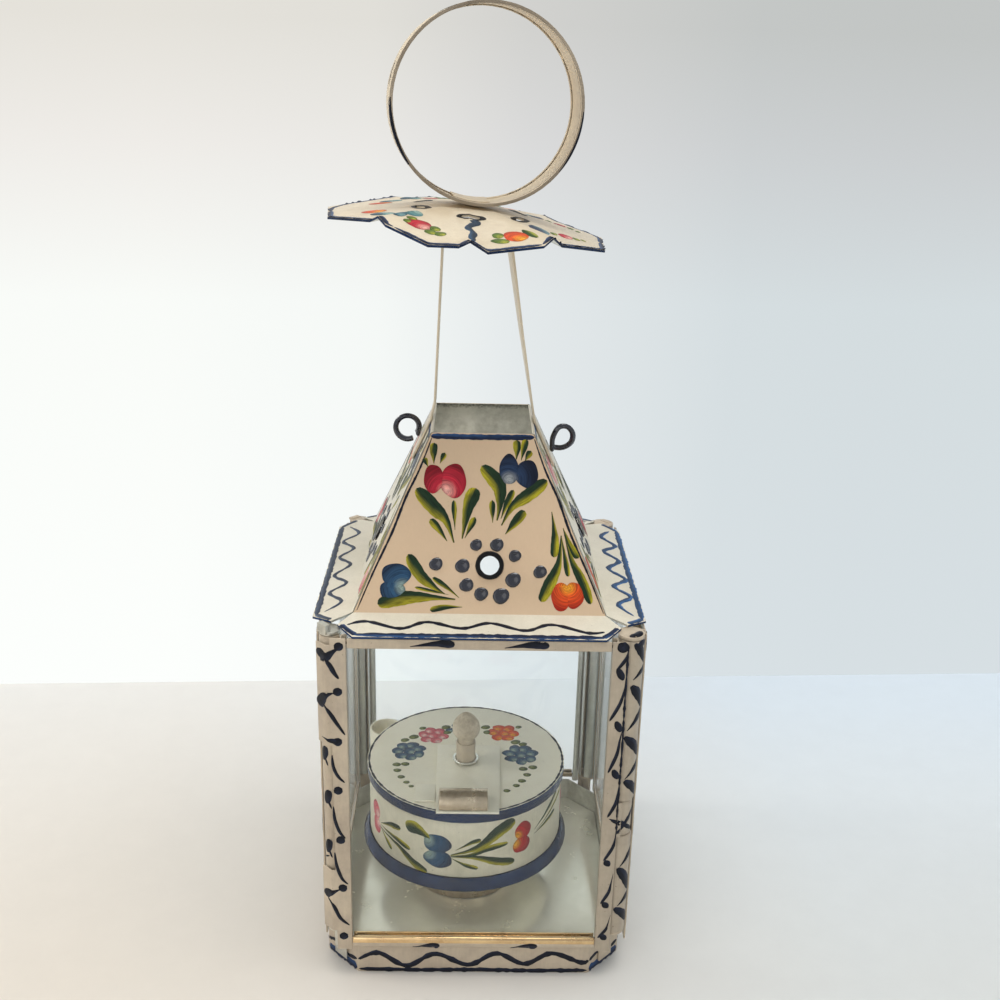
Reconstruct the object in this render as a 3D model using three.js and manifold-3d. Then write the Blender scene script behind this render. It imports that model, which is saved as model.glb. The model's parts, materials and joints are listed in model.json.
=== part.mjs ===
// A painted tin oil lantern: a square glazed case with rolled corner posts, a hinged glazed
// door at the front, a steep four-sided roof, and a crimped smoke canopy on two straps with a
// ring handle on top. A round oil burner stands inside on a short pedestal.
// Millimetres, +Z up. The origin is the middle of the base, on the surface it stands on,
// and the door faces -Y.

import * as THREE from 'three';
import { mergeVertices } from 'three/addons/utils/BufferGeometryUtils.js';
import Module from 'manifold-3d';

const wasm = await Module();
wasm.setup();

// Sheet and fits
const sheet = 0.8;            // tinplate thickness
const seat = 0.3;             // clearance between pieces that are soldered or rest together
const seamGap = 0.25;         // half of the solder seam between two roof panels

// Base
const baseInset = 1.8;        // how far the apron stands behind the faces of the glazed sides
const baseClip = 12.3;        // length that each corner of the apron is cut back along the flats
const apronHeight = 13.2;     // height of the apron that goes round the base
const hemHeight = 2.9;        // height of the folded hem that the floor rests on
const hemDepth = 2.2;         // depth of that hem

// Glazed sides
const openingHalf = 45;       // half the width of the clear opening
const openingHeight = 118.8;
const lowerRail = 4.2;        // height of the lower rail's face, up to the opening
const upperRail = 3.6;        // height of the upper rail's face, down to the opening
const faceStrip = 0.7;        // thickness of the outer strip
const backStrip = 0.6;        // thickness of the web and of the inner strip
const stileWidth = 5.5;       // width of the outer strip beside the opening
const stileDrop = 1.7;        // how far the outer strip hangs below the channel
const glassThickness = 2;
const glassLip = 1.2;         // how far the glass runs into its channels
const beadDepth = 0.9;        // how far the lower rail's bead stands out

// Corner posts of rolled tin
const postRadius = 4.6;
const leftInset = 1.8;        // how much nearer the left side stands, for its thinner posts
const postGap = 0.1;          // between a stile's web and the widest part of the post
const postWall = 0.7;
const postRise = 6;           // from the top of the apron to the foot of the post
const postSeamAngle = 24;     // degrees of open seam that faces the inside
const footHalfWidth = 3.4;
const footPlateBottom = 3;
const capHeight = 1.2;
const earHalf = 2.2;          // half the width of the ear crimped up on a cap
const earInner = 1.4;         // distance of the ear's inner face from the post's axis
const earDepth = 2.2;
const earBare = 2.6;          // height of the tall ear on the front left cap
const earPainted = 0.3;       // height of the ears on the other caps

// Door hinge on the right front post, and the door's grip on the left one
const pinRadius = 1.5;
const hingeClearance = 0.3;
const knuckleInset = 0.4;     // how much thinner than the post the knuckle is
const knuckleRise = 42.8;     // from the foot of the post to the knuckle
const knuckleHeight = 14.2;
const upperLapHeight = 38.7;  // height of the flap that laps over the left post at the top
const lowerLapHeight = 26.6;  // and at the bottom
const upperLapInset = 2.5;    // from the top of the door to the upper flap
const lowerLapInset = 1;      // from the foot of the post to the lower flap

// Roof
const roofShoulder = 7.9;     // how far the foot of the slopes stands inside the posts' axes
const roofHeight = 57.8;      // from there up to the open top
const roofTopHalfX = 18.1;
const roofTopHalfY = 19.9;
const eaveOverhang = 0.5;     // how far the eaves stand out past the glazed sides
const eaveFall = 2.3;         // from the foot of the slopes down to the edge of the eaves
const eaveClip = 15.2;        // length that each corner of an eave is cut back
const mitreReach = 7;         // length of the mitre between two eaves, across the eave
const mitreNotch = 2.5;       // how far the cut corner stands back at the mitre
const ventSide = 3.1;         // the punched vent's place across the panel
const ventUp = 16.9;          // and its distance up the slope
const ventRadius = 3.6;
const ventRim = 1.2;          // width of the raised rim round the vent
const ventRimHeight = 0.7;

// Straps between the roof and the canopy. A path gives how far inside the roof's top edge
// the strap has come at a share of the way up.
const strapWidth = 9;
const strapLeftOverlap = 14.8;   // length down the roof that the left strap lies on
const strapRightOverlap = 16.8;
const strapLeftPath = [[0.8, 0.08], [1.8, 0.38], [3.1, 0.8]];
const strapRightPath = [[0.9, 0.11], [4.7, 0.4], [9.4, 0.79]];
const strapLeftEnd = -8.6;       // where the left strap ends, across from the canopy's middle
const strapRightEnd = 12.4;
const strapTwist = 12;           // degrees that the right strap turns on its way up

// Wire eyelets on the straps
const wireRadius = 1.05;
const eyeRadius = 4.2;        // to the middle of the wire
const eyeLeftFall = 6.7;      // from the roof's top edge down to the foot of the left eyelet
const eyeRightFall = 11.8;    // and of the right one
const padHalf = [1, 2.4, 1.6];  // half sizes of the solder pad under each eyelet
const padBite = 0.15;         // how far the pad is lifted into the wire

// Canopy
const canopyX = -6;
const canopyRise = 75.8;      // from the top of the roof to the crown of the canopy
const canopyTilt = 5.3;       // degrees, lower on the right
const canopyRadius = 48.8;    // usual distance from the middle to the rim
const canopyCrown = 9;        // radius of the flat crown
const canopyDrop = 7.9;       // height of the cone below the crown
const canopyLevels = [0.28, 0.6, 1];  // rings of points, as shares of the way to the rim
// The rim's corners and pinched darts: direction in degrees, distance from the middle, height over the cone.
// At a dart the rim is drawn in and raised. The front sags a little and the rear is bent up.
const canopyRim = [
  [-160, 48.8, 0.3], [-134, 44.4, 2], [-129.3, 44.5, 3.8], [-122.1, 47.5, 2.8], [-103.5, 48.8, -0.6],
  [-92.3, 48.2, 0.1], [-88.2, 44.9, 1], [-81.5, 48.5, -0.7], [-59.5, 48.2, 2.2], [-51.5, 44.5, 3.6],
  [-45.5, 44, 0.9], [-21, 49.7, 0.2], [21, 52.4, 0.2], [43, 46.5, 1.3], [50, 44.5, 2.5], [57, 48.2, 2.2],
  [66, 48.8, 2.7], [82, 48.5, 3.4], [87, 44.9, 4.2], [92, 48.2, 3.6], [107, 48.8, 4], [121, 47.5, 2.8],
  [129, 44.5, 2.9], [136, 47, 2], [162, 52.1, 0.2],
];
const canopyVents = 6;
const canopyVentStart = -89;  // degrees round to the front vent
const canopyVentRing = 19.3;
const canopyVentHalf = [4.2, 1.9];

// Ring handle
const ringRadius = 32.1;
const ringBand = 19;
const ringThickness = 0.7;
const ringHem = 0.4;          // how far the folded edges stand in from the band
const ringHemWidth = 1.8;
const ringX = -1.4;
const ringYaw = 7;            // degrees that the ring is turned from facing front
const lapFrom = -110;         // direction of the inner end of the strip that laps inside the ring
const lapTo = -87;            // and of its outer end
const lapThickness = 0.6;

// Burner
const burnerX = -4.1;
const burnerY = 3.5;
const pedestalRadius = 21.5;
const pedestalHeight = 18.7;
const drumRadius = 39;
const drumHeight = 34.2;
const lidSkirt = 4.3;
const lidOverhang = 0.9;
const footFlare = 2.4;        // how far the foot band spreads past the drum
const footHeight = 4.7;
const footEdge = 1.1;         // height of the foot band's outer edge
const footLip = 0.6;          // thickness of the foot band at its top
const fillerRadius = 9.6;
const loopRadius = 7.2;
const loopAngle = 138;        // degrees round from the right
const loopRise = 19.7;        // from the foot of the drum to the finger loop
const loopHeight = 9;
const tabLength = 11;         // of the stop tab beside the wick plate
const tabWidth = 8;
const tabFromEdge = 6;        // from the drum's front to the tab

// Wick holder and wick
const wickX = -4.2;
const wickY = -0.8;
const plateOverhang = 0.6;    // how far the plate stands out past the lid in front
const plateBackY = 10;
const plateBackHalf = 12.9;
const plateFrontHalf = 11.9;
const plateX = -3.1;
const plugDepth = 3;          // how far the plug ring hangs below the lid
const gripRadius = 5;
const gripHalf = 9.2;
const gripFromFront = 5.4;
const gripX = -4.8;
const gripTuck = 8;           // degrees that the grip curls past a half circle at each end
const tubeRadius = 3.85;
const tubeWall = 0.5;
const tubeAbovePlate = 8.6;
const tubeBelowPlate = 14;
const collarWidth = 1.1;
const collarHeight = 1;
const wickBulbRadius = 5.6;
const wickBulbHeight = 13;
const wickFootRise = 3.7;     // from the foot of the drum to the end of the wick

// Sizes that follow from the ones above
const floorZ = hemHeight + seat;
const floorTopZ = floorZ + sheet;
const channelBottom = apronHeight + seat;
const openingBottom = channelBottom + lowerRail;
const openingTop = openingBottom + openingHeight;
const frameTop = openingTop + upperRail;
const glassHalf = openingHalf + glassLip;
const glassBottom = openingBottom - glassLip;
const glassTop = openingTop + glassLip;
const webInner = glassHalf + seat;
const webOuter = webInner + backStrip;
const stileOuter = openingHalf + stileWidth;
const postCentre = webOuter + postGap + postRadius;
const frameFront = postCentre + postRadius + seat + faceStrip;
const leftRadius = postRadius - leftInset / 2;
const leftCentre = webOuter + postGap + leftRadius;
const leftFront = leftCentre + leftRadius + seat + faceStrip;
const glassFront = frameFront - faceStrip - seat;
const glassBack = glassFront - glassThickness;
const backFront = glassBack - seat;
const frameBack = backFront - backStrip;
const baseHalf = frameFront - baseInset;
const postBottom = apronHeight + postRise;
const postTop = frameTop - seat;
const knuckleBottom = postBottom + knuckleRise;
const knuckleTop = knuckleBottom + knuckleHeight;
const eaveZ = frameTop + seat + sheet;
const eaveHalf = frameFront + eaveOverhang;
const roofBaseHalf = postCentre - roofShoulder;
const roofBaseZ = eaveZ + eaveFall;
const roofTopZ = roofBaseZ + roofHeight;
const canopyTopZ = roofTopZ + canopyRise;
const drumBottomZ = floorTopZ + seat + pedestalHeight + seat;
const drumTopZ = drumBottomZ + drumHeight;
const lidZ = drumTopZ - sheet;
const plateZ = drumTopZ + seat;
const plateTopZ = plateZ + sheet;
const plateFrontY = burnerY - drumRadius - lidOverhang - plateOverhang;
const tubeTopZ = plateTopZ + tubeAbovePlate;
const diagonal = Math.SQRT2;
const openAir = 20;           // length that a cutting tool runs past what it cuts

const rad = THREE.MathUtils.degToRad;

// Materials, one per finish
const paint = (color, roughness = 0.45) => new THREE.MeshStandardMaterial({ color, roughness, metalness: 0 });
const cream = () => paint(0xd9cdb8);
const navy = () => paint(0x27345f);
const black = () => paint(0x1b1c22, 0.35);
const tin = () => new THREE.MeshStandardMaterial({ color: 0x8c8c86, roughness: 0.35, metalness: 0.9 });
const clearGlass = () => new THREE.MeshStandardMaterial({
  color: 0xdfe9e6, roughness: 0.05, metalness: 0, transparent: true, opacity: 0.25,
});
const cotton = () => paint(0xc9b99c, 0.95);

const lantern = new THREE.Group();

// Merge shared corners, drop empty triangles and make the faces point outward.
function tidy(geometry) {
  let work = geometry.clone();
  work.deleteAttribute('normal');
  work.deleteAttribute('uv');
  work = mergeVertices(work, 1e-4);
  const points = work.attributes.position;
  const kept = [];
  let volume = 0;
  const a = new THREE.Vector3();
  const b = new THREE.Vector3();
  const c = new THREE.Vector3();
  for (let i = 0; i < work.index.count; i += 3) {
    const [p, q, r] = [0, 1, 2].map((k) => work.index.getX(i + k));
    if (p === q || q === r || r === p) continue;
    kept.push(p, q, r);
    a.fromBufferAttribute(points, p);
    b.fromBufferAttribute(points, q);
    c.fromBufferAttribute(points, r);
    volume += a.dot(b.cross(c));
  }
  if (volume < 0) {
    for (let i = 0; i < kept.length; i += 3) {
      [kept[i + 1], kept[i + 2]] = [kept[i + 2], kept[i + 1]];
    }
  }
  const clean = new THREE.BufferGeometry();
  clean.setAttribute('position', new THREE.BufferAttribute(new Float32Array(points.array), 3));
  clean.setIndex(kept);
  clean.computeVertexNormals();
  return clean;
}

function solid(geometry) {
  const clean = tidy(geometry);
  return new wasm.Manifold(new wasm.Mesh({
    numProp: 3,
    vertProperties: new Float32Array(clean.attributes.position.array),
    triVerts: new Uint32Array(clean.index.array),
  }));
}

function surface(manifold) {
  const mesh = manifold.getMesh();
  const geometry = new THREE.BufferGeometry();
  geometry.setAttribute('position', new THREE.BufferAttribute(new Float32Array(mesh.vertProperties), 3));
  geometry.setIndex(Array.from(mesh.triVerts));
  return tidy(geometry);
}

const join = (...geometries) => surface(geometries.map(solid).reduce((sum, next) => sum.add(next)));

const cut = (geometry, ...tools) => (
  surface(tools.map(solid).reduce((rest, tool) => rest.subtract(tool), solid(geometry)))
);

// Add a named piece to a group.
function piece(parent, name, geometry, material) {
  const mesh = new THREE.Mesh(tidy(geometry), material);
  mesh.name = name;
  parent.add(mesh);
  return mesh;
}

function box(x0, x1, y0, y1, z0, z1) {
  const geometry = new THREE.BoxGeometry(Math.abs(x1 - x0), Math.abs(y1 - y0), Math.abs(z1 - z0));
  return geometry.translate((x0 + x1) / 2, (y0 + y1) / 2, (z0 + z1) / 2);
}

// A flat outline in X and Y raised from z0 to z1.
function prism(outline, z0, z1, hole) {
  const shape = new THREE.Shape(outline.map(([x, y]) => new THREE.Vector2(x, y)));
  if (hole) shape.holes.push(new THREE.Path(hole.map(([x, y]) => new THREE.Vector2(x, y))));
  const settings = { depth: z1 - z0, bevelEnabled: false, curveSegments: 1 };
  return new THREE.ExtrudeGeometry(shape, settings).translate(0, 0, z0);
}

// A profile of radius and height turned round the Z axis.
function turned(profile, segments = 56) {
  const points = profile.map(([r, z]) => new THREE.Vector2(r, z));
  return new THREE.LatheGeometry(points, segments).rotateX(Math.PI / 2);
}

const tube = (outer, inner, z0, z1, segments = 28) => (
  turned([[inner, z0], [outer, z0], [outer, z1], [inner, z1], [inner, z0]], segments)
);

const rod = (radius, z0, z1, segments = 20) => (
  turned([[0, z0], [radius, z0], [radius, z1], [0, z1]], segments)
);

// The points of an arc about (cx, cy), in degrees.
function arc(cx, cy, radius, from, to, steps) {
  const points = [];
  for (let i = 0; i <= steps; i += 1) {
    const angle = rad(from + ((to - from) * i) / steps);
    points.push([cx + radius * Math.cos(angle), cy + radius * Math.sin(angle)]);
  }
  return points;
}

// A square with its corners cut off.
function clippedSquare(half, clip) {
  const s = half - clip;
  return [[-s, -half], [s, -half], [half, -s], [half, s], [s, half], [-s, half], [-half, s], [-half, -s]];
}

// The same outline moved inward by a distance, with the corner cuts kept parallel.
const innerClippedSquare = (offset) => clippedSquare(baseHalf - offset, baseClip - offset * (2 - diagonal));

// A closed sheet between an upper and a lower layer of points that match one to one.
// The faces list corner numbers of the upper layer, and the rim lists them along the border.
function layered(upper, lower, faces, rim) {
  const count = upper.length;
  const index = [];
  for (const face of faces) {
    for (let i = 1; i + 1 < face.length; i += 1) {
      index.push(face[0], face[i], face[i + 1]);
      index.push(count + face[0], count + face[i + 1], count + face[i]);
    }
  }
  rim.forEach((from, i) => {
    const to = rim[(i + 1) % rim.length];
    index.push(to, from, count + from, to, count + from, count + to);
  });
  const geometry = new THREE.BufferGeometry();
  geometry.setAttribute('position', new THREE.Float32BufferAttribute([...upper, ...lower].flat(), 3));
  geometry.setIndex(index);
  return geometry;
}

// A flat strip that follows a path. Each station has a point, a direction across and one
// through the thickness.
function ribbon(stations, width, thickness) {
  const corners = [[-1, -1], [1, -1], [1, 1], [-1, 1]];
  const points = [];
  for (const { at, across, through } of stations) {
    for (const [i, j] of corners) {
      const corner = at.clone();
      corner.addScaledVector(across, (i * width) / 2);
      corner.addScaledVector(through, (j * thickness) / 2);
      points.push(...corner.toArray());
    }
  }
  const index = [0, 2, 1, 0, 3, 2];
  for (let s = 0; s + 1 < stations.length; s += 1) {
    for (let k = 0; k < 4; k += 1) {
      const a = s * 4 + k;
      const b = s * 4 + ((k + 1) % 4);
      index.push(a, b, b + 4, a, b + 4, a + 4);
    }
  }
  const end = (stations.length - 1) * 4;
  index.push(end, end + 1, end + 2, end, end + 2, end + 3);
  const geometry = new THREE.BufferGeometry();
  geometry.setAttribute('position', new THREE.Float32BufferAttribute(points, 3));
  geometry.setIndex(index);
  return geometry;
}

// The base: an apron with a folded hem, the floor that lies on the hem, and four corner feet.
function buildBase() {
  const hem = prism(innerClippedSquare(0), 0, hemHeight, innerClippedSquare(hemDepth));
  const wall = prism(innerClippedSquare(0), 0, apronHeight, innerClippedSquare(sheet));
  piece(lantern, 'base_apron', join(hem, wall), cream());
  piece(lantern, 'base_floor', prism(innerClippedSquare(sheet + seat), floorZ, floorTopZ), tin());
}

// The axis and the radius of the post at a corner. The left ones are thinner.
function postAt(corner) {
  const left = Math.cos(corner) < 0;
  const axis = new THREE.Vector3(left ? -leftCentre : postCentre, Math.sign(Math.sin(corner)) * postCentre, 0);
  return { axis, radius: left ? leftRadius : postRadius };
}

// A foot bracket: a plate on the apron's cut corner and a round shelf under the post.
function buildFoot(corner, name, material) {
  const plateInner = (2 * baseHalf - baseClip) / diagonal + seat;
  const { axis, radius } = postAt(corner);
  const under = axis.applyAxisAngle(new THREE.Vector3(0, 0, 1), -corner);
  const shelfTop = postBottom - seat;
  const plate = box(plateInner, plateInner + sheet, -footHalfWidth, footHalfWidth, footPlateBottom, shelfTop);
  const shelf = rod(radius - seat, shelfTop - sheet, shelfTop, 24).translate(under.x, under.y, 0);
  const mesh = piece(lantern, name, join(plate, shelf), material);
  mesh.rotation.z = corner;
}

// A rolled post with its seam towards the middle, and the crimped cap on its top.
function buildPost(corner, name, material) {
  const half = postSeamAngle / 2;
  const { axis, radius } = postAt(corner);
  const outer = arc(0, 0, radius, 180 + half, 540 - half, 26);
  const inner = arc(0, 0, radius - postWall, 540 - half, 180 + half, 26);
  const mesh = piece(lantern, name, prism([...outer, ...inner], postBottom, postTop), material);
  mesh.rotation.z = corner;
  mesh.position.copy(axis);
}

function buildCap(corner, name, material, earHeight) {
  const base = postTop + seat;
  const { axis, radius } = postAt(corner);
  const disc = rod(radius, base, base + capHeight, 24);
  const earTop = base + capHeight + earHeight;
  const ear = box(earInner, earInner + earDepth, -earHalf, earHalf, base + capHeight / 2, earTop);
  const mesh = piece(lantern, name, join(disc, ear), material);
  mesh.rotation.z = corner;
  mesh.position.copy(axis);
}

// The hinge: two rolls on the body with the pin through them.
function buildHinge() {
  const bore = pinRadius + hingeClearance;
  const parts = [
    ['hinge_roll_lower', tube(postRadius, bore, postBottom, knuckleBottom - seat), cream()],
    ['hinge_roll_upper', tube(postRadius, bore, knuckleTop + seat, postTop), cream()],
    ['hinge_pin', rod(pinRadius, postBottom, postTop, 16), tin()],
  ];
  for (const [name, geometry, material] of parts) {
    piece(lantern, name, geometry.translate(postCentre, -postCentre, 0), material);
  }
}

// An upright channel beside the opening. The side is -1 for left and 1 for right, and the drop
// is how far the outer strip hangs below the channel.
function stile(side, drop = stileDrop) {
  const left = (x0, x1) => (side > 0 ? [x0, x1] : [-x1, -x0]);
  const face = box(...left(openingHalf, stileOuter), -frameFront, faceStrip - frameFront,
    channelBottom - drop, frameTop);
  const web = box(...left(webInner, webOuter), -frameFront, -frameBack, channelBottom, frameTop);
  const back = box(...left(openingHalf, webOuter), -backFront, -frameBack, channelBottom, frameTop);
  return join(face, web, back);
}

// A level channel across the opening, between the stiles. The lower one has a round bead.
function rail(lower) {
  const reach = openingHalf - seat;
  const edge = lower ? openingBottom : openingTop;
  const outward = lower ? -1 : 1;
  const faceEnd = lower ? channelBottom : frameTop;
  const webIn = edge + outward * (glassLip + seat);
  const webOut = webIn + outward * backStrip;
  const z = (a, b) => [Math.min(a, b), Math.max(a, b)];
  const face = box(-reach, reach, -frameFront, faceStrip - frameFront, ...z(edge, faceEnd));
  const web = box(-reach, reach, -frameFront, -frameBack, ...z(webIn, webOut));
  const back = box(-reach, reach, -backFront, -frameBack, ...z(edge, webOut));
  if (!lower) return join(face, web, back);
  const middle = (edge + faceEnd) / 2;
  const half = Math.abs(edge - faceEnd) / 2;
  const bead = new THREE.CylinderGeometry(1, 1, 2 * reach, 20).rotateZ(Math.PI / 2);
  bead.scale(1, beadDepth, half).translate(0, -frameFront, middle);
  const behind = box(-reach - openAir, reach + openAir, faceStrip / 2 - frameFront, 0,
    edge - openAir, edge + openAir);
  return join(face, web, back, cut(bead, behind));
}

const pane = () => box(-glassHalf, glassHalf, -glassFront, -glassBack, glassBottom, glassTop);

// The left side stands nearer and level with the apron, so its outer strips end above it.
function buildFixedSide(side, turn) {
  const group = new THREE.Group();
  group.rotation.z = turn;
  group.position.x = side === 'left' ? frameFront - leftFront : 0;
  lantern.add(group);
  const drop = side === 'left' ? 0 : stileDrop;
  piece(group, `${side}_stile_a`, stile(-1, drop), cream());
  piece(group, `${side}_stile_b`, stile(1, drop), cream());
  piece(group, `${side}_rail_bottom`, rail(true), cream());
  piece(group, `${side}_rail_top`, rail(false), cream());
  piece(group, `${side}_glass`, pane(), clearGlass());
}

// The door's right stile carries the knuckle, its left one laps over the post and grips it.
function buildDoor() {
  const bore = pinRadius + hingeClearance;
  const knuckleRadius = postRadius - knuckleInset;
  const knuckle = tube(knuckleRadius, bore, knuckleBottom, knuckleTop);
  knuckle.translate(postCentre, -postCentre, 0);
  const tabBack = bore - postCentre - knuckleRadius;
  const tab = box(webOuter, postCentre, faceStrip / 2 - frameFront, tabBack, knuckleBottom, knuckleTop);
  const passage = rod(bore, 0, roofTopZ).translate(postCentre, -postCentre, 0);
  const hinged = cut(join(knuckle, tab), passage);
  piece(lantern, 'door_stile_right', join(stile(1), hinged), cream());

  // the bend of the flaps: x + y of its inner and its outer face
  const inner = frameFront - faceStrip;
  const leftInner = leftFront - faceStrip;
  const bendInner = -leftCentre - postCentre - (leftInner - leftCentre) * diagonal;
  const bendOuter = bendInner - faceStrip * diagonal;
  const lapOutline = [
    [-stileOuter + 1, -frameFront], [-stileOuter + 1, -inner],
    [bendInner + inner, -inner], [-leftInner, bendInner + leftInner],
    [-leftFront, bendOuter + leftFront], [bendOuter + frameFront, -frameFront],
  ];
  const upperLapTop = frameTop - upperLapInset;
  const lowerLapBottom = postBottom + lowerLapInset;
  const laps = [
    prism(lapOutline, upperLapTop - upperLapHeight, upperLapTop),
    prism(lapOutline, lowerLapBottom, lowerLapBottom + lowerLapHeight),
  ];
  piece(lantern, 'door_stile_left', join(stile(-1), ...laps), cream());
  piece(lantern, 'door_rail_bottom', rail(true), cream());
  piece(lantern, 'door_rail_top', rail(false), cream());
  piece(lantern, 'door_glass', pane(), clearGlass());
}

// Half the width of the roof's outer faces at a height, and how much the sheet takes off it.
const slopeX = (roofBaseHalf - roofTopHalfX) / (roofTopZ - roofBaseZ);
const slopeY = (roofBaseHalf - roofTopHalfY) / (roofTopZ - roofBaseZ);
const eaveSlope = (roofBaseZ - eaveZ) / (eaveHalf - roofBaseHalf);

// One roof panel in its own frame, facing -Y: a slope with its eave folded out below.
// The run is the slope across this panel, the side run the slope of its neighbours.
function roofPanel(run, sideRun) {
  const depthAt = (z) => roofBaseHalf - (z - roofBaseZ) * run;
  const widthAt = (z) => roofBaseHalf - (z - roofBaseZ) * sideRun - seamGap;
  const depthLoss = sheet * Math.hypot(1, run);
  const widthLoss = sheet * Math.hypot(1, sideRun);
  const eaveLoss = sheet * Math.hypot(1, eaveSlope);
  const eaveAt = (out) => roofBaseZ - (out - roofBaseHalf) * eaveSlope;
  const mitreOut = roofBaseHalf + mitreReach;
  const mitreSide = mitreOut - mitreNotch;
  const eaveStraight = eaveHalf - eaveClip;
  // where the inner face of the slope meets the lower face of the eave
  const bendZ = roofBaseZ - (eaveLoss - depthLoss * eaveSlope) / (1 + run * eaveSlope);
  const row = (half, depth, z) => [[-half, -depth, z], [half, -depth, z]];
  const upper = [
    ...row(widthAt(roofTopZ), depthAt(roofTopZ), roofTopZ),
    ...row(widthAt(roofBaseZ), roofBaseHalf, roofBaseZ),
    ...row(mitreSide, mitreOut, eaveAt(mitreOut)),
    ...row(eaveStraight, eaveHalf, eaveZ),
  ];
  const lower = [
    ...row(widthAt(roofTopZ) - widthLoss, depthAt(roofTopZ) - depthLoss, roofTopZ),
    ...row(widthAt(bendZ) - widthLoss, depthAt(bendZ) - depthLoss, bendZ),
    ...row(mitreSide, mitreOut, eaveAt(mitreOut) - eaveLoss),
    ...row(eaveStraight, eaveHalf, eaveZ - eaveLoss),
  ];
  const faces = [[0, 2, 3, 1], [2, 4, 6, 7, 5, 3]];
  const plain = layered(upper, lower, faces, [0, 2, 4, 6, 7, 5, 3, 1]);
  const place = (geometry) => {
    const lean = Math.atan(run);
    const depth = ventUp * Math.sin(lean) - roofBaseHalf;
    geometry.rotateX(Math.PI / 2 - lean);
    return geometry.translate(ventSide, depth, roofBaseZ + ventUp * Math.cos(lean));
  };
  const rim = place(rod(ventRadius + ventRim, -sheet / 2, ventRimHeight, 28));
  const hole = place(rod(ventRadius, -openAir, openAir, 28));
  return cut(join(plain, rim), hole);
}

function buildRoof() {
  const panels = [['roof_front', 0, slopeY, slopeX], ['roof_right', 90, slopeX, slopeY],
    ['roof_rear', 180, slopeY, slopeX], ['roof_left', 270, slopeX, slopeY]];
  for (const [name, turn, run, sideRun] of panels) {
    const mesh = piece(lantern, name, roofPanel(run, sideRun), cream());
    mesh.rotation.z = rad(turn);
  }
}

// A point just outside a side panel of the roof, at a height and a distance from its face.
function besideRoof(side, z, away) {
  const lean = Math.atan(slopeX);
  const half = roofBaseHalf - (z - roofBaseZ) * slopeX;
  return new THREE.Vector3(side * (half + away * Math.cos(lean)), 0, z + away * Math.sin(lean));
}

// The height of the canopy's underside at a distance across, in the middle from front to back.
function canopyUnderside(x) {
  const first = canopyLevels[0] * canopyRadius;
  const fall = (r) => ((r - canopyCrown) * canopyDrop) / (canopyRadius - canopyCrown);
  const away = Math.abs(x - canopyX) + 1;
  const cone = away < first ? (away * fall(first)) / first : fall(away);
  return canopyTopZ - (x - canopyX) * Math.tan(rad(canopyTilt)) - cone - sheet;
}

// The straps lie on the side panels, leave the roof at its top edge and end under the canopy.
function buildStrap(name, side, overlap, path, end, twist) {
  const away = seat + sheet / 2;
  const endX = canopyX + end;
  const endZ = canopyUnderside(endX + sheet) - seat - sheet / 2;
  const points = [
    besideRoof(side, roofTopZ - overlap, away),
    besideRoof(side, roofTopZ, away),
    ...path.map(([inside, share]) => (
      new THREE.Vector3(side * (roofTopHalfX - inside), 0, roofTopZ + share * canopyRise)
    )),
    new THREE.Vector3(endX, 0, endZ),
  ];
  const stations = points.map((at, i) => {
    const before = points[Math.max(0, i - 1)];
    const after = points[Math.min(points.length - 1, i + 1)];
    const along = after.clone().sub(before).normalize();
    const turn = rad((twist * Math.max(0, at.z - roofTopZ)) / canopyRise);
    const across = new THREE.Vector3(-Math.sin(turn), Math.cos(turn), 0);
    const through = new THREE.Vector3().crossVectors(along, across).normalize();
    return { at, across, through };
  });
  piece(lantern, name, ribbon(stations, strapWidth, sheet), cream());
}

// A bent wire with a solder pad at its foot, on the outer face of a strap.
function buildEyelet(name, side, footZ, points) {
  const curve = new THREE.CatmullRomCurve3(points);
  const section = new THREE.Shape(arc(0, 0, wireRadius, 0, 300, 5).map(([x, y]) => new THREE.Vector2(x, y)));
  const wire = new THREE.ExtrudeGeometry(section, { steps: 28, bevelEnabled: false, extrudePath: curve });
  const middle = besideRoof(side, footZ, seat + sheet + seat + padHalf[0] + padBite);
  const pad = new THREE.SphereGeometry(1, 10, 8).scale(...padHalf).translate(...middle.toArray());
  piece(lantern, name, join(wire, pad), black());
}

function buildEyelets() {
  const outside = seat + sheet + seat + wireRadius;
  const leftZ = roofTopZ - eyeLeftFall;
  const centre = besideRoof(-1, leftZ, outside + eyeRadius + padBite);
  const turns = 16;
  const wound = [];
  for (let i = 0; i <= turns; i += 1) {
    const angle = rad(-62 - (330 * i) / turns);
    const offset = new THREE.Vector3(eyeRadius * Math.cos(angle), 0, eyeRadius * Math.sin(angle));
    offset.y = wireRadius * ((2.2 * i) / turns - 1.1);
    wound.push(centre.clone().add(offset));
  }
  buildEyelet('eyelet_left', -1, leftZ, wound);

  // the right eyelet is a hook drawn out sideways: shares of the eye radius and of the wire
  const rightZ = roofTopZ - eyeRightFall;
  const foot = besideRoof(1, rightZ, outside);
  const hook = [[0, -1.15, 0.05], [0.03, -1.15, 1], [0.55, -0.9, 1.95], [1.24, -0.35, 1.95],
    [1.76, 0, 1.33], [1.67, 0.45, 0.48], [0.95, 0.9, -0.05], [0.1, 1.15, -0.05]];
  buildEyelet('eyelet_right', 1, rightZ, hook.map(([out, across, up]) => (
    foot.clone().add(new THREE.Vector3(out * eyeRadius, across * wireRadius, up * eyeRadius))
  )));
}

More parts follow.
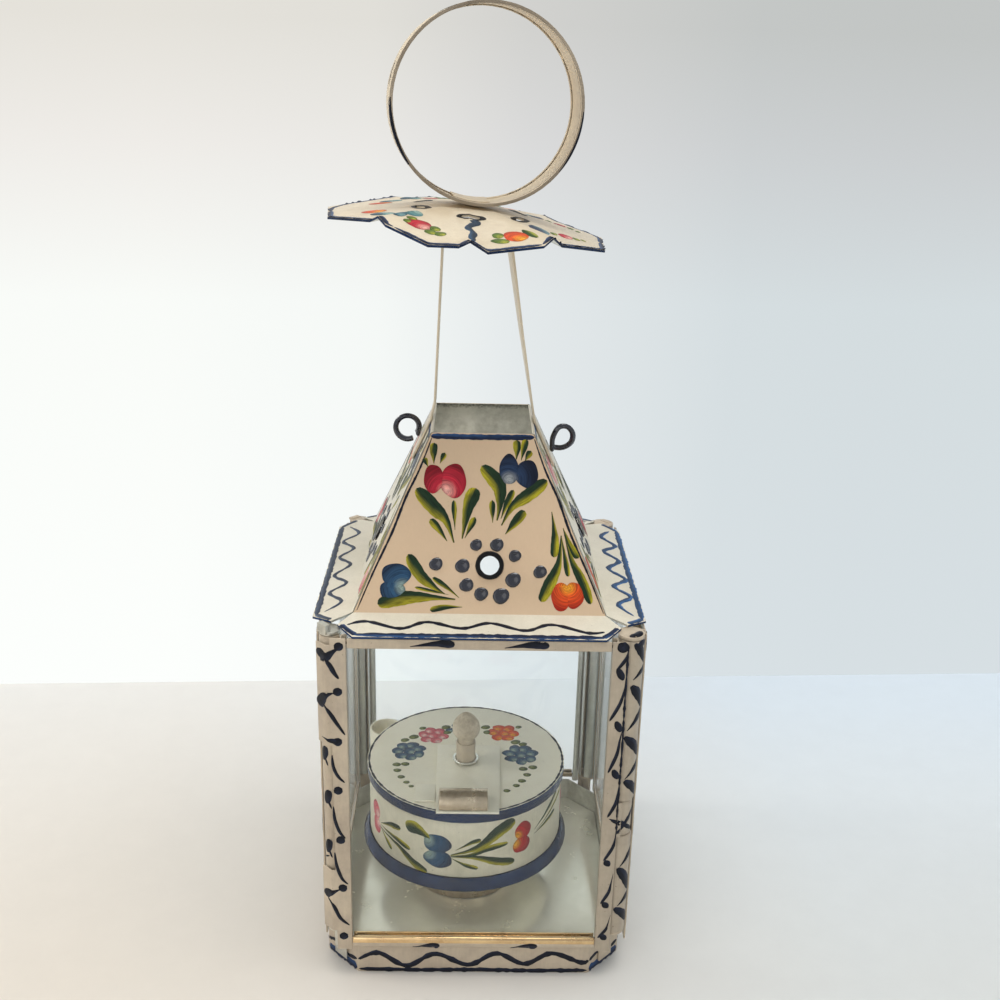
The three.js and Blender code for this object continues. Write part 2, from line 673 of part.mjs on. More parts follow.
// The canopy: a shallow cone with straight edges between the corners of its rim.
function buildCanopy() {
  const levels = canopyLevels;
  const upper = [[0, 0, 0]];
  for (const level of levels) {
    for (const [angle, radius, rise] of canopyRim) {
      const r = radius * level;
      const fall = ((r - canopyCrown) * canopyDrop) / (canopyRadius - canopyCrown);
      const lift = (rise * (level - levels[0])) / (1 - levels[0]);
      upper.push([r * Math.cos(rad(angle)), r * Math.sin(rad(angle)), lift - fall]);
    }
  }
  const lower = upper.map(([x, y, z]) => [x, y, z - sheet]);
  const count = canopyRim.length;
  const at = (level, i) => 1 + level * count + (i % count);
  const faces = [];
  for (let i = 0; i < count; i += 1) {
    faces.push([0, at(0, i), at(0, i + 1)]);
    for (let level = 0; level + 1 < levels.length; level += 1) {
      faces.push([at(level, i), at(level + 1, i), at(level + 1, i + 1), at(level, i + 1)]);
    }
  }
  const border = canopyRim.map((_, i) => at(levels.length - 1, i));
  const plain = layered(upper, lower, faces, border);
  const vents = [];
  for (let i = 0; i < canopyVents; i += 1) {
    const punch = new THREE.CylinderGeometry(1, 1, openAir, 16).rotateX(Math.PI / 2);
    punch.scale(canopyVentHalf[1], canopyVentHalf[0], 1).translate(canopyVentRing, 0, 0);
    vents.push(punch.rotateZ(rad(canopyVentStart + (360 * i) / canopyVents)));
  }
  const mesh = piece(lantern, 'canopy', cut(plain, ...vents), cream());
  mesh.position.set(canopyX, 0, canopyTopZ);
  mesh.rotation.y = rad(canopyTilt);
}

// The ring handle: a band with hemmed edges, and the end of the strip that laps inside it.
function buildRing() {
  const inner = ringRadius - ringThickness;
  const hemInner = inner - ringHem;
  const half = ringBand / 2;
  const flat = half - ringHemWidth;
  const profile = [
    [hemInner, -half], [ringRadius, -half], [ringRadius, half], [hemInner, half],
    [hemInner, flat], [inner, flat], [inner, -flat], [hemInner, -flat], [hemInner, -half],
  ];
  const group = new THREE.Group();
  const touch = canopyTopZ - (ringX - canopyX) * Math.tan(rad(canopyTilt));
  group.position.set(ringX, 0, touch + ringRadius + 2 * seat);
  group.rotation.z = rad(ringYaw);
  lantern.add(group);
  piece(group, 'ring_handle', turned(profile, 60).rotateX(Math.PI / 2), cream());
  const lapOuter = inner - seat;
  const outline = [
    ...arc(0, 0, lapOuter, lapFrom, lapTo, 8),
    ...arc(0, 0, lapOuter - lapThickness, lapTo, lapFrom, 8),
  ];
  const lapHalf = flat - seat;
  piece(group, 'ring_lap', prism(outline, -lapHalf, lapHalf).rotateX(Math.PI / 2), cream());
}

// The burner: a round tin drum with a lid, a flared foot and a finger loop.
function buildBurner() {
  const group = new THREE.Group();
  group.position.set(burnerX, burnerY, 0);
  lantern.add(group);
  const pedestalFoot = floorTopZ + seat;
  const pedestalTop = pedestalFoot + pedestalHeight;
  const pedestal = tube(pedestalRadius, pedestalRadius - sheet, pedestalFoot, pedestalTop, 40);
  piece(group, 'burner_pedestal', pedestal, tin());
  piece(group, 'drum_bottom', rod(drumRadius - sheet - seat, drumBottomZ, drumBottomZ + sheet, 48), tin());
  piece(group, 'drum_wall', tube(drumRadius, drumRadius - sheet, drumBottomZ, lidZ - seat, 48), cream());
  const skirtInner = drumRadius + seat;
  const footTop = drumBottomZ + footHeight;
  piece(group, 'drum_foot', turned([
    [skirtInner, drumBottomZ], [skirtInner + footFlare, drumBottomZ],
    [skirtInner + footFlare, drumBottomZ + footEdge], [skirtInner + footLip, footTop],
    [skirtInner, footTop], [skirtInner, drumBottomZ],
  ], 48), navy());
  const lidOuter = drumRadius + lidOverhang;
  const skirtZ = drumTopZ - lidSkirt;
  const lid = turned([
    [0, lidZ], [skirtInner, lidZ], [skirtInner, skirtZ], [lidOuter, skirtZ], [lidOuter, drumTopZ],
    [0, drumTopZ],
  ], 48);
  const filler = rod(fillerRadius, lidZ - openAir, drumTopZ + openAir, 32);
  filler.translate(wickX - burnerX, wickY - burnerY, 0);
  piece(group, 'drum_lid', cut(lid, filler), cream());
  const reach = skirtInner + loopRadius;
  const loopZ = drumBottomZ + loopRise;
  const loop = tube(loopRadius, loopRadius - sheet, loopZ, loopZ + loopHeight, 24);
  loop.translate(reach * Math.cos(rad(loopAngle)), reach * Math.sin(rad(loopAngle)), 0);
  piece(group, 'drum_finger_loop', loop, cream());
  const tabX = plateX - plateFrontHalf - 2 * seat - burnerX;
  const tabY = tabFromEdge - drumRadius;
  const tab = box(tabX - tabWidth, tabX, tabY, tabY + tabLength, plateZ, plateTopZ);
  piece(group, 'lid_stop_tab', tab, cream());
}

// The wick holder: a plate over the filler with a plug ring, a curled grip and the wick tube.
function buildWickHolder() {
  const plate = prism([
    [plateX - plateFrontHalf, plateFrontY], [plateX + plateFrontHalf, plateFrontY],
    [plateX + plateBackHalf, plateBackY], [plateX - plateBackHalf, plateBackY],
  ], plateZ, plateTopZ);
  const plugOuter = fillerRadius - 2 * seat;
  const plug = tube(plugOuter, plugOuter - sheet, lidZ - plugDepth, plateZ + sheet / 2, 32);
  const hole = rod(tubeRadius + seat, lidZ - openAir, plateTopZ + openAir, 24);
  const hollow = cut(join(plate, plug.translate(wickX, wickY, 0)), hole.translate(wickX, wickY, 0));
  piece(lantern, 'wick_plate', hollow, cream());

  const gripOuter = arc(0, 0, gripRadius, -gripTuck, 180 + gripTuck, 18);
  const gripInner = arc(0, 0, gripRadius - sheet, 180 + gripTuck, -gripTuck, 18);
  const sink = gripRadius * Math.sin(rad(gripTuck));
  const grip = prism([...gripOuter, ...gripInner], -gripHalf, gripHalf);
  grip.rotateX(Math.PI / 2).rotateZ(Math.PI / 2);
  grip.translate(gripX, plateFrontY + gripFromFront, plateTopZ + seat + sink);
  piece(lantern, 'wick_plate_grip', grip, cream());

  const wickTube = tube(tubeRadius, tubeRadius - tubeWall, plateZ - tubeBelowPlate, tubeTopZ, 24);
  piece(lantern, 'wick_tube', wickTube.translate(wickX, wickY, 0), cream());
  const collarInner = tubeRadius + seat;
  const collarZ = plateTopZ + seat;
  const collar = tube(collarInner + collarWidth, collarInner, collarZ, collarZ + collarHeight, 24);
  piece(lantern, 'wick_tube_collar', collar.translate(wickX, wickY, 0), tin());
}

// The wick: a straight cord in the tube with a swollen head above it.
function buildWick() {
  const cord = tubeRadius - tubeWall - seat;
  const base = tubeTopZ + seat;
  const footZ = drumBottomZ + wickFootRise;
  const profile = [[0, footZ], [cord, footZ], [cord, base]];
  const steps = 9;
  for (let i = 1; i < steps; i += 1) {
    const t = i / steps;
    const swell = Math.sin(Math.PI * t ** 0.85) ** 0.7;
    profile.push([Math.max(cord * (1 - t), wickBulbRadius * swell), base + wickBulbHeight * t]);
  }
  profile.push([0, base + wickBulbHeight]);
  piece(lantern, 'wick', turned(profile, 20).translate(wickX, wickY, 0), cotton());
}

const corners = {
  front_left: rad(225), front_right: rad(315), rear_right: rad(45), rear_left: rad(135),
};

buildBase();
for (const [place, corner] of Object.entries(corners)) {
  const bare = place === 'front_left';
  buildFoot(corner, `post_foot_${place}`, bare ? tin() : cream());
  buildCap(corner, `post_cap_${place}`, bare ? tin() : cream(), bare ? earBare : earPainted);
  if (place !== 'front_right') buildPost(corner, `post_${place}`, cream());
}
buildHinge();
buildFixedSide('right', rad(90));
buildFixedSide('rear', rad(180));
buildFixedSide('left', rad(270));
buildDoor();
buildRoof();
buildStrap('strap_left', -1, strapLeftOverlap, strapLeftPath, strapLeftEnd, 0);
buildStrap('strap_right', 1, strapRightOverlap, strapRightPath, strapRightEnd, strapTwist);
buildEyelets();
buildCanopy();
buildRing();
buildBurner();
buildWickHolder();
buildWick();

export default lantern;
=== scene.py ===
# %% [markdown]
# # A painted tin oil lantern
#
# This lesson dresses the engineering model of a small glazed lantern. Blender works in metres.
# Numbers read off the lantern are in mm, and MM turns them into metres.

# %% The frame
import json
import math
import random

import bmesh
import bpy
from mathutils import Matrix, Vector
from mathutils.bvhtree import BVHTree


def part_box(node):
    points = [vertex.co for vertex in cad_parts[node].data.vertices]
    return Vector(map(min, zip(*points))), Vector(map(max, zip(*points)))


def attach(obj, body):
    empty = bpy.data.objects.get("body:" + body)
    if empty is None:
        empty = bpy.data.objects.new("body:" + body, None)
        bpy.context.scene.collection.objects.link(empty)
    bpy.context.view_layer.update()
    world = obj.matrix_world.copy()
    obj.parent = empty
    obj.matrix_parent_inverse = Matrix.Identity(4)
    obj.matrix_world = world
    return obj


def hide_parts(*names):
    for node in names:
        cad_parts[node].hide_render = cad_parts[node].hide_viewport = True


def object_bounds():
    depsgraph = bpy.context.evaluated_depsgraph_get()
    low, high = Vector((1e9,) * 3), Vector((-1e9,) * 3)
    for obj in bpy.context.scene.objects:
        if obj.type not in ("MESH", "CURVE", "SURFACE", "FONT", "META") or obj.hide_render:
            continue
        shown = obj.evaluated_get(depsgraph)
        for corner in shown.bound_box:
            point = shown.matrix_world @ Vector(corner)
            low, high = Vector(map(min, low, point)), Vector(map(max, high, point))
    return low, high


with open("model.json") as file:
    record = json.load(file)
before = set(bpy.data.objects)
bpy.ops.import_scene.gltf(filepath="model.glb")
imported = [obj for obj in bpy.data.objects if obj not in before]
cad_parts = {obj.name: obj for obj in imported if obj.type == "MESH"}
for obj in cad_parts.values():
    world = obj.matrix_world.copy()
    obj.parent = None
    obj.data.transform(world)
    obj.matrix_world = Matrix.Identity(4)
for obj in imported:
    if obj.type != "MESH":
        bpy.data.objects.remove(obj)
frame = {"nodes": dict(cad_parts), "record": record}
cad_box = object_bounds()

MM = 0.001
nodes = frame["nodes"]
random.seed(11)
print("nodes", len(nodes), "box", [[round(v, 4) for v in corner] for corner in cad_box])

# %% [markdown]
# ## Camera
#
# A camera is a position, three turns and a lens. These were found by fitting straight edges of
# the lantern, so the picture has the same perspective. It stands close and looks down a little.

# %% Camera
CAMERA_PLACE = Vector((-0.00336, -0.4166, 0.3213))
CAMERA_YAW = 0.025
CAMERA_PITCH = 0.349
CAMERA_ROLL = -0.025
CAMERA_FOCUS = 1189.3     # in pixels of a picture PICTURE_WIDTH pixels wide
PICTURE_WIDTH = 1000
SENSOR_WIDTH = 36         # mm


def add_camera():
    """Place the camera with its yaw, pitch and roll, and give it the fitted lens."""
    forward = Vector((math.sin(CAMERA_YAW) * math.cos(CAMERA_PITCH),
                      math.cos(CAMERA_YAW) * math.cos(CAMERA_PITCH), -math.sin(CAMERA_PITCH)))
    level = Vector((math.cos(CAMERA_YAW), -math.sin(CAMERA_YAW), 0))
    below = forward.cross(level)
    right = math.cos(CAMERA_ROLL) * level + math.sin(CAMERA_ROLL) * below
    down = math.cos(CAMERA_ROLL) * below - math.sin(CAMERA_ROLL) * level
    data = bpy.data.cameras.new("camera")
    data.sensor_width = SENSOR_WIDTH
    data.lens = CAMERA_FOCUS * SENSOR_WIDTH / PICTURE_WIDTH
    data.clip_start = 0.01
    camera = bpy.data.objects.new("camera", data)
    turn = Matrix((right, -down, -forward)).transposed()
    camera.matrix_world = Matrix.Translation(CAMERA_PLACE) @ turn.to_4x4()
    bpy.context.scene.collection.objects.link(camera)
    bpy.context.scene.camera = camera
    return camera


camera = add_camera()
print("camera at", [round(v, 3) for v in camera.location], "lens", round(camera.data.lens, 2))

# %% [markdown]
# ## Helpers for shader nodes
#
# A finish is a small graph of nodes. These helpers each add one node and join it up, so that a
# finish below reads like a sentence: noise goes through a ramp of colours into the paint.

# %% Helpers for shader nodes
def new_material(name):
    """A material with its node tree and its main shader."""
    material = bpy.data.materials.new(name)
    material.use_nodes = True
    tree = material.node_tree
    shader = next(node for node in tree.nodes if node.type == "BSDF_PRINCIPLED")
    return material, tree, shader


def add(tree, kind, **values):
    """A new shader node with its settings."""
    node = tree.nodes.new("ShaderNode" + kind)
    for name, value in values.items():
        setattr(node, name, value)
    return node


def plug(tree, source, target):
    """Join two sockets."""
    tree.links.new(source, target)


def ramp(tree, source, stops):
    """Turn a value into a colour that runs from stop to stop."""
    node = add(tree, "ValToRGB")
    while len(node.color_ramp.elements) < len(stops):
        node.color_ramp.elements.new(0.5)
    for element, (place, colour) in zip(node.color_ramp.elements, stops):
        element.position = place
        element.color = (*colour, 1)
    plug(tree, source, node.inputs["Fac"])
    return node.outputs["Color"]


def mix(tree, factor, first, second, blend="MIX"):
    """Blend two colours. Each input is a socket, a number or a colour."""
    node = add(tree, "Mix", data_type="RGBA", blend_type=blend)
    for socket, value in ((node.inputs[0], factor), (node.inputs[6], first), (node.inputs[7], second)):
        if isinstance(value, bpy.types.NodeSocket):
            plug(tree, value, socket)
        elif isinstance(value, (int, float)):
            socket.default_value = value
        else:
            socket.default_value = (*value, 1)
    return node.outputs[2]


def sums(tree, operation, first, second=0.0, third=0.0, clamp=False):
    """One step of arithmetic. Each input is a socket or a number."""
    node = add(tree, "Math", operation=operation, use_clamp=clamp)
    for socket, value in zip(node.inputs, (first, second, third)):
        if isinstance(value, bpy.types.NodeSocket):
            plug(tree, value, socket)
        else:
            socket.default_value = value
    return node.outputs[0]


def place(tree, scale=(1, 1, 1)):
    """The place of a point on the piece, stretched by a scale."""
    source = add(tree, "TexCoord").outputs["Object"]
    mapping = add(tree, "Mapping")
    mapping.inputs["Scale"].default_value = scale
    plug(tree, source, mapping.inputs["Vector"])
    return mapping.outputs["Vector"]


def noise(tree, vector, scale, detail=3.0, rough=0.55):
    """Soft random clouds, finer as the scale grows."""
    node = add(tree, "TexNoise")
    node.inputs["Scale"].default_value = scale
    node.inputs["Detail"].default_value = detail
    node.inputs["Roughness"].default_value = rough
    plug(tree, vector, node.inputs["Vector"])
    return node.outputs["Fac"]


def relief(tree, shader, height, strength, distance):
    """Let a value raise the surface a little, so that light catches on it."""
    bump = add(tree, "Bump")
    bump.inputs["Strength"].default_value = strength
    bump.inputs["Distance"].default_value = distance
    plug(tree, height, bump.inputs["Height"])
    plug(tree, bump.outputs["Normal"], shader.inputs["Normal"])


def surface_output(tree):
    """The socket that a finished material ends in."""
    return next(node for node in tree.nodes if node.type == "OUTPUT_MATERIAL").inputs["Surface"]


print("shader helpers ready")

# %% [markdown]
# ## Table and wall
#
# The lantern stands on a white table in front of a pale wall. The wall is open from behind, so
# that the back of the lantern can be looked at too. Both are stage, not parts of the lantern.
# Their shading comes from slow runs of colour from one side of the room to the other.

# %% Table and wall
WALL_Y = 0.1735           # where the wall stands behind the middle of the lantern
WALL_TURN = 0.0486        # how far it runs back for each step to the right
STAGE_REACH = 4.0
GREY_TO_WHITE = [(0.3, (0.6, 0.6, 0.6)), (0.7, (1, 1, 1))]


def stage_plane(name, corners):
    """A flat piece of the stage."""
    mesh = bpy.data.meshes.new(name)
    mesh.from_pydata(corners, [], [(0, 1, 2, 3)])
    plane = bpy.data.objects.new(name, mesh)
    bpy.context.scene.collection.objects.link(plane)
    return plane


def along(tree, stops, start, end):
    """A run of colours from one point of the room to another."""
    way = Vector(end) - Vector(start)
    dot = add(tree, "VectorMath", operation="DOT_PRODUCT")
    shift = add(tree, "VectorMath", operation="SUBTRACT")
    shift.inputs[1].default_value = start
    dot.inputs[1].default_value = way / way.length_squared
    plug(tree, add(tree, "TexCoord").outputs["Object"], shift.inputs[0])
    plug(tree, shift.outputs[0], dot.inputs[0])
    return ramp(tree, dot.outputs["Value"], stops)


def glow_for_camera(tree, shader, colour):
    """The wall glows with its own colour, its painted light and shade, to the camera, glass and metal, and
    takes light as a wall does.
    """
    glow = add(tree, "Emission")
    plug(tree, colour, glow.inputs["Color"])
    rays = add(tree, "LightPath")
    seen = sums(tree, "ADD", rays.outputs["Is Camera Ray"], rays.outputs["Is Glossy Ray"])
    seen = sums(tree, "ADD", seen, rays.outputs["Is Transmission Ray"], clamp=True)
    lit = add(tree, "MixShader")
    plug(tree, seen, lit.inputs[0])
    plug(tree, shader.outputs[0], lit.inputs[1])
    plug(tree, glow.outputs[0], lit.inputs[2])
    sides = add(tree, "MixShader")
    plug(tree, add(tree, "NewGeometry").outputs["Backfacing"], sides.inputs[0])
    plug(tree, lit.outputs[0], sides.inputs[1])
    plug(tree, add(tree, "BsdfTransparent").outputs[0], sides.inputs[2])
    plug(tree, sides.outputs[0], surface_output(tree))


def add_table():
    """A white table, warmer on the left, with a faint grain."""
    reach = STAGE_REACH
    table = stage_plane("table", [(-reach, -reach, 0), (reach, -reach, 0),
                                  (reach, reach, 0), (-reach, reach, 0)])
    material, tree, shader = new_material("table")
    across = along(tree, [(0.0, (0.80, 0.77, 0.72)), (0.4, (0.80, 0.79, 0.76)), (1.0, (0.77, 0.82, 0.85))],
                   (-0.15, 0, 0), (0.15, 0, 0))
    back = along(tree, [(0.0, (1.0, 0.96, 0.91)), (1.0, (1.01, 1.03, 1.06))], (0, -0.06, 0), (0, 0.15, 0))
    cloth = ramp(tree, noise(tree, place(tree), 70, 5, 0.65), GREY_TO_WHITE)
    colour = mix(tree, 1.0, across, back, "MULTIPLY")
    colour = mix(tree, 0.06, colour, cloth, "MULTIPLY")
    plug(tree, colour, shader.inputs["Base Color"])
    shader.inputs["Roughness"].default_value = 0.8
    table.data.materials.append(material)


def add_wall():
    """A pale wall with painted light and shade: brighter on the left where the window light falls, darker
    towards its top.
    """
    reach = STAGE_REACH
    line = [(x, WALL_Y + WALL_TURN * x) for x in (-reach, reach)]
    wall = stage_plane("wall", [(*line[0], 0), (*line[1], 0), (*line[1], reach), (*line[0], reach)])
    material, tree, shader = new_material("wall")
    across = along(tree, [(0.0, (0.98, 1.0, 0.98)), (0.3, (0.94, 0.97, 0.96)), (0.5, (0.80, 0.84, 0.86)),
                          (0.8, (0.69, 0.75, 0.78)), (1.0, (0.68, 0.74, 0.77))], (-0.16, 0, 0), (0.2, 0, 0))
    up = along(tree, [(0.0, (1, 1, 1)), (0.62, (0.97, 0.97, 0.96)), (0.84, (0.88, 0.84, 0.82)),
                      (1.0, (0.80, 0.76, 0.72))], (0, 0, 0), (0, 0, 0.34))
    colour = mix(tree, 1.0, across, up, "MULTIPLY")
    plug(tree, colour, shader.inputs["Base Color"])
    shader.inputs["Roughness"].default_value = 0.9
    glow_for_camera(tree, shader, colour)
    wall.data.materials.append(material)


add_table()
add_wall()
print("table and wall stand ready")

# %% [markdown]
# ## Lamps and sky
#
# One large soft lamp stands behind on the left, one hangs above, and a weak one fills the front.
# The sky lights the rest, so a paint looks about as pale as its own colour. The camera and the
# window glass show a greyer sky than the one that gives the light.

# %% Lamps and sky
SKY_LIGHT, SKY_SEEN = (0.93, 0.96, 1.0), (0.86, 0.88, 0.89)
SKY_POWER, SKY_POWER_SEEN = 0.58, 0.94


def add_lamp(name, location, aim, size, power, colour):
    """A round soft lamp that points at its aim."""
    data = bpy.data.lights.new(name, "AREA")
    data.shape = "DISK"
    data.size, data.energy, data.color = size, power, colour
    lamp = bpy.data.objects.new(name, data)
    lamp.location = location
    lamp.rotation_euler = (Vector(aim) - Vector(location)).to_track_quat("-Z", "Y").to_euler()
    bpy.context.scene.collection.objects.link(lamp)


def add_light():
    """The sky and the three lamps."""
    world = bpy.data.worlds.new("sky")
    world.use_nodes = True
    tree = world.node_tree
    sky = tree.nodes["Background"]
    rays = add(tree, "LightPath")
    seen = sums(tree, "ADD", rays.outputs["Is Camera Ray"], rays.outputs["Is Transmission Ray"], clamp=True)
    plug(tree, mix(tree, seen, SKY_LIGHT, SKY_SEEN), sky.inputs["Color"])
    strength = sums(tree, "MULTIPLY_ADD", seen, SKY_POWER_SEEN - SKY_POWER, SKY_POWER)
    plug(tree, strength, sky.inputs["Strength"])
    bpy.context.scene.world = world
    add_lamp("window_left", (-0.9, 0.35, 0.9), (0, 0, 0.15), 0.8, 12.5, (1.0, 0.97, 0.93))
    add_lamp("ceiling", (0.15, 0.1, 1.5), (0, 0, 0.1), 1.2, 16.5, (1.0, 0.98, 0.95))
    add_lamp("fill", (-0.6, -1.1, 0.5), (0, 0, 0.12), 1.0, 1.9, (1.0, 0.98, 0.96))


add_light()
view = bpy.context.scene.view_settings
view.view_transform = "Standard"

# %% [markdown]
# ## Paint on tin
#
# The lantern is thin tin under hand-brushed oil paint. Such paint isn't one colour: it has a
# darker, dirtier tone in broad clouds, hair-fine streaks from the brush, and small dark specks
# where the tin has rusted through. One function makes all the creams from noise of different
# sizes, so that each surface differs only in its numbers.

# %% Cream and coloured paints
CLOUDS, GRAINS, SPOTS, HAIRS = 38, 260, 900, 1500         # how fine each noise is
RUST = (0.10, 0.07, 0.05)
RELIEF = 0.0012                                           # height of the paint's relief, in metres


def paint(name, clean, dirty, dirt=0.5, roughness=0.36, speck=0.5, bump=0.12, shine=0.4, streaks=0.16,
          grain=0.4):
    """Brushed paint: clean and dirty tone in clouds, fine streaks, dark specks and a low relief."""
    material, tree, shader = new_material(name)
    where = place(tree)
    cloud = noise(tree, where, CLOUDS, 4)
    fine = noise(tree, where, GRAINS, 5, 0.65)
    hair = noise(tree, place(tree, (1, 1, 0.08)), HAIRS, 2)
    tone = sums(tree, "MULTIPLY_ADD", fine, grain, sums(tree, "MULTIPLY", cloud, 1 - grain))
    middle = 0.5 + (dirt - 0.5) * 0.3
    colour = ramp(tree, tone, [(middle - 0.13, dirty), (middle + 0.13, clean)])
    colour = mix(tree, streaks, colour, ramp(tree, hair, GREY_TO_WHITE), "MULTIPLY")
    spots = ramp(tree, noise(tree, where, SPOTS, 2), [(0.72, (0, 0, 0)), (0.78, (1, 1, 1))])
    colour = mix(tree, sums(tree, "MULTIPLY", spots, speck), colour, RUST)
    plug(tree, colour, shader.inputs["Base Color"])
    shader.inputs["Specular IOR Level"].default_value = shine
    rough = sums(tree, "MULTIPLY_ADD", fine, grain * 0.55, roughness - grain * 0.275)
    plug(tree, rough, shader.inputs["Roughness"])
    height = sums(tree, "MULTIPLY_ADD", hair, streaks * 1.5, sums(tree, "MULTIPLY_ADD", fine, 0.5, cloud))
    relief(tree, shader, height, bump, RELIEF)
    return material


CREAM = paint("cream", (0.80, 0.70, 0.53), (0.70, 0.585, 0.42))
# the front roof slope's cream, darker as painted shade where less light falls
CREAM_FRONT_SHADED = paint("cream_front_painted_shade", (0.70, 0.515, 0.335), (0.69, 0.50, 0.325), dirt=0.45, roughness=0.26,
                  speck=0.2, bump=0.03, shine=0.5, streaks=0.06, grain=0.1)
CREAM_CASE = paint("cream_case", (0.66, 0.555, 0.41), (0.50, 0.41, 0.31), dirt=0.55, roughness=0.34,
                   speck=0.8)
# a darker case cream for the right stile and hinge rolls, as painted shade on the right side
CREAM_RIGHT_SHADED = paint("cream_right_painted_shade", (0.54, 0.46, 0.345), (0.42, 0.35, 0.265), dirt=0.55, roughness=0.34,
                    speck=0.8)
# the palest cream, for the lid and the small pieces on it, as painted light for the shade under the roof
CREAM_LID_LIT = paint("cream_lid_painted_light", (0.99, 0.94, 0.77), (0.92, 0.86, 0.69), dirt=0.55, roughness=0.4, speck=0.6)
CREAM_WALL = paint("cream_wall", (0.84, 0.77, 0.60), (0.66, 0.61, 0.46), dirt=0.55, roughness=0.4,
                   speck=0.6)
# a lighter cream for the eaves' upper faces and the side slopes, as painted light where the light falls on
# them
CREAM_LIT = paint("cream_painted_light", (0.84, 0.78, 0.64), (0.74, 0.68, 0.54), dirt=0.5, roughness=0.34,
                   speck=0.5)
CREAM_RING = paint("cream_ring", (0.80, 0.68, 0.50), (0.70, 0.58, 0.42), dirt=0.45, roughness=0.45,
                   speck=0.0, bump=0.0, shine=0.3, streaks=0.0, grain=0.04)
HEM = paint("worn_hem", (0.42, 0.35, 0.26), (0.25, 0.20, 0.145), dirt=0.5, roughness=0.5, speck=0.2,
            bump=0.03, shine=0.3, streaks=0.0, grain=0.1)
NAVY = paint("navy", (0.010, 0.032, 0.100), (0.006, 0.012, 0.034), dirt=0.45, roughness=0.24, speck=0.3,
             bump=0.12, shine=0.2)
BLUE = paint("blue_edge", (0.022, 0.06, 0.16), (0.012, 0.025, 0.07), dirt=0.45, roughness=0.24, speck=0.3,
             bump=0.12, shine=0.25)
BLACK = paint("black", (0.012, 0.014, 0.028), (0.006, 0.007, 0.014), dirt=0.45, roughness=0.10, speck=0.0,
              bump=0.2, shine=0.9, streaks=0.0)
print("paints", [m.name for m in bpy.data.materials])

# %% [markdown]
# ## Bare tin, glass and cotton
#
# Inside, the tin is bare. It mirrors dimly, with smears where hands and soot have dulled it, so
# its roughness changes more than its colour. Window glass is clear, a little green, and lets
# light straight through, which keeps the inside of the lantern bright.

# %% Tin, glass and cotton
METAL_RELIEF = 0.0008     # metres
SOOT = (0.02, 0.018, 0.015)
SOOT_FROM, SOOT_TO = 198.8 * MM, 201.6 * MM     # heights between which the roof's inside blackens


def metal(name, bright, dull, smooth=0.16, rough=0.42, bump=0.2, metallic=1.0):
    """Bare sheet that mirrors dimly, with dull smears drawn up and down."""
    material, tree, shader = new_material(name)
    smear = noise(tree, place(tree, (1, 1, 0.3)), 55, 5, 0.62)
    fine = noise(tree, place(tree), 420, 4, 0.6)
    tone = sums(tree, "MULTIPLY_ADD", fine, 0.3, sums(tree, "MULTIPLY", smear, 0.7))
    plug(tree, ramp(tree, tone, [(0.36, dull), (0.62, bright)]), shader.inputs["Base Color"])
    plug(tree, ramp(tree, tone, [(0.35, (rough,) * 3), (0.62, (smooth,) * 3)]), shader.inputs["Roughness"])
    shader.inputs["Metallic"].default_value = metallic
    relief(tree, shader, tone, bump, METAL_RELIEF)
    return material


def sooted(material, low, high):
    """Blacken a bare finish above a height, with a speckled border up to a second height."""
    tree = material.node_tree
    shader = next(node for node in tree.nodes if node.type == "BSDF_PRINCIPLED")
    clean = shader.inputs["Base Color"].links[0].from_socket
    split = add(tree, "SeparateXYZ")
    plug(tree, place(tree), split.inputs[0])
    rise = sums(tree, "DIVIDE", sums(tree, "SUBTRACT", split.outputs["Z"], low), high - low)
    speck = sums(tree, "MULTIPLY_ADD", noise(tree, place(tree), 1300, 3), 1.3, -0.85)
    soot = sums(tree, "ADD", rise, speck, clamp=True)
    plug(tree, mix(tree, soot, clean, SOOT), shader.inputs["Base Color"])


def window_glass():
    """Clear glass that lets the light of the lamps pass without a shadow."""
    material, tree, shader = new_material("window_glass")
    haze = noise(tree, place(tree), 60, 5, 0.7)
    plug(tree, ramp(tree, haze, [(0.3, (0.975, 0.996, 1.0)), (0.8, (0.95, 0.978, 0.98))]),
         shader.inputs["Base Color"])
    shader.inputs["Transmission Weight"].default_value = 1.0
    shader.inputs["IOR"].default_value = 1.36
    plug(tree, ramp(tree, haze, [(0.45, (0.0,) * 3), (0.8, (0.05,) * 3)]), shader.inputs["Roughness"])
    clear = add(tree, "BsdfTransparent")
    clear.inputs["Color"].default_value = (0.99, 1.0, 0.995, 1)
    either = add(tree, "MixShader")
    plug(tree, add(tree, "LightPath").outputs["Is Shadow Ray"], either.inputs[0])
    plug(tree, shader.outputs[0], either.inputs[1])
    plug(tree, clear.outputs[0], either.inputs[2])
    plug(tree, either.outputs[0], surface_output(tree))
    return material


def cotton_cloth():
    """Fluffy woven cotton, a little yellowed."""
    material, tree, shader = new_material("cotton")
    where = place(tree)
    fluff = noise(tree, where, 900, 6, 0.7)
    tone = sums(tree, "MULTIPLY_ADD", noise(tree, where, 160, 4), 0.6, sums(tree, "MULTIPLY", fluff, 0.4))
    plug(tree, ramp(tree, tone, [(0.35, (0.54, 0.44, 0.31)), (0.65, (0.90, 0.79, 0.62))]),
         shader.inputs["Base Color"])
    shader.inputs["Roughness"].default_value = 0.95
    relief(tree, shader, fluff, 0.9, RELIEF)
    return material


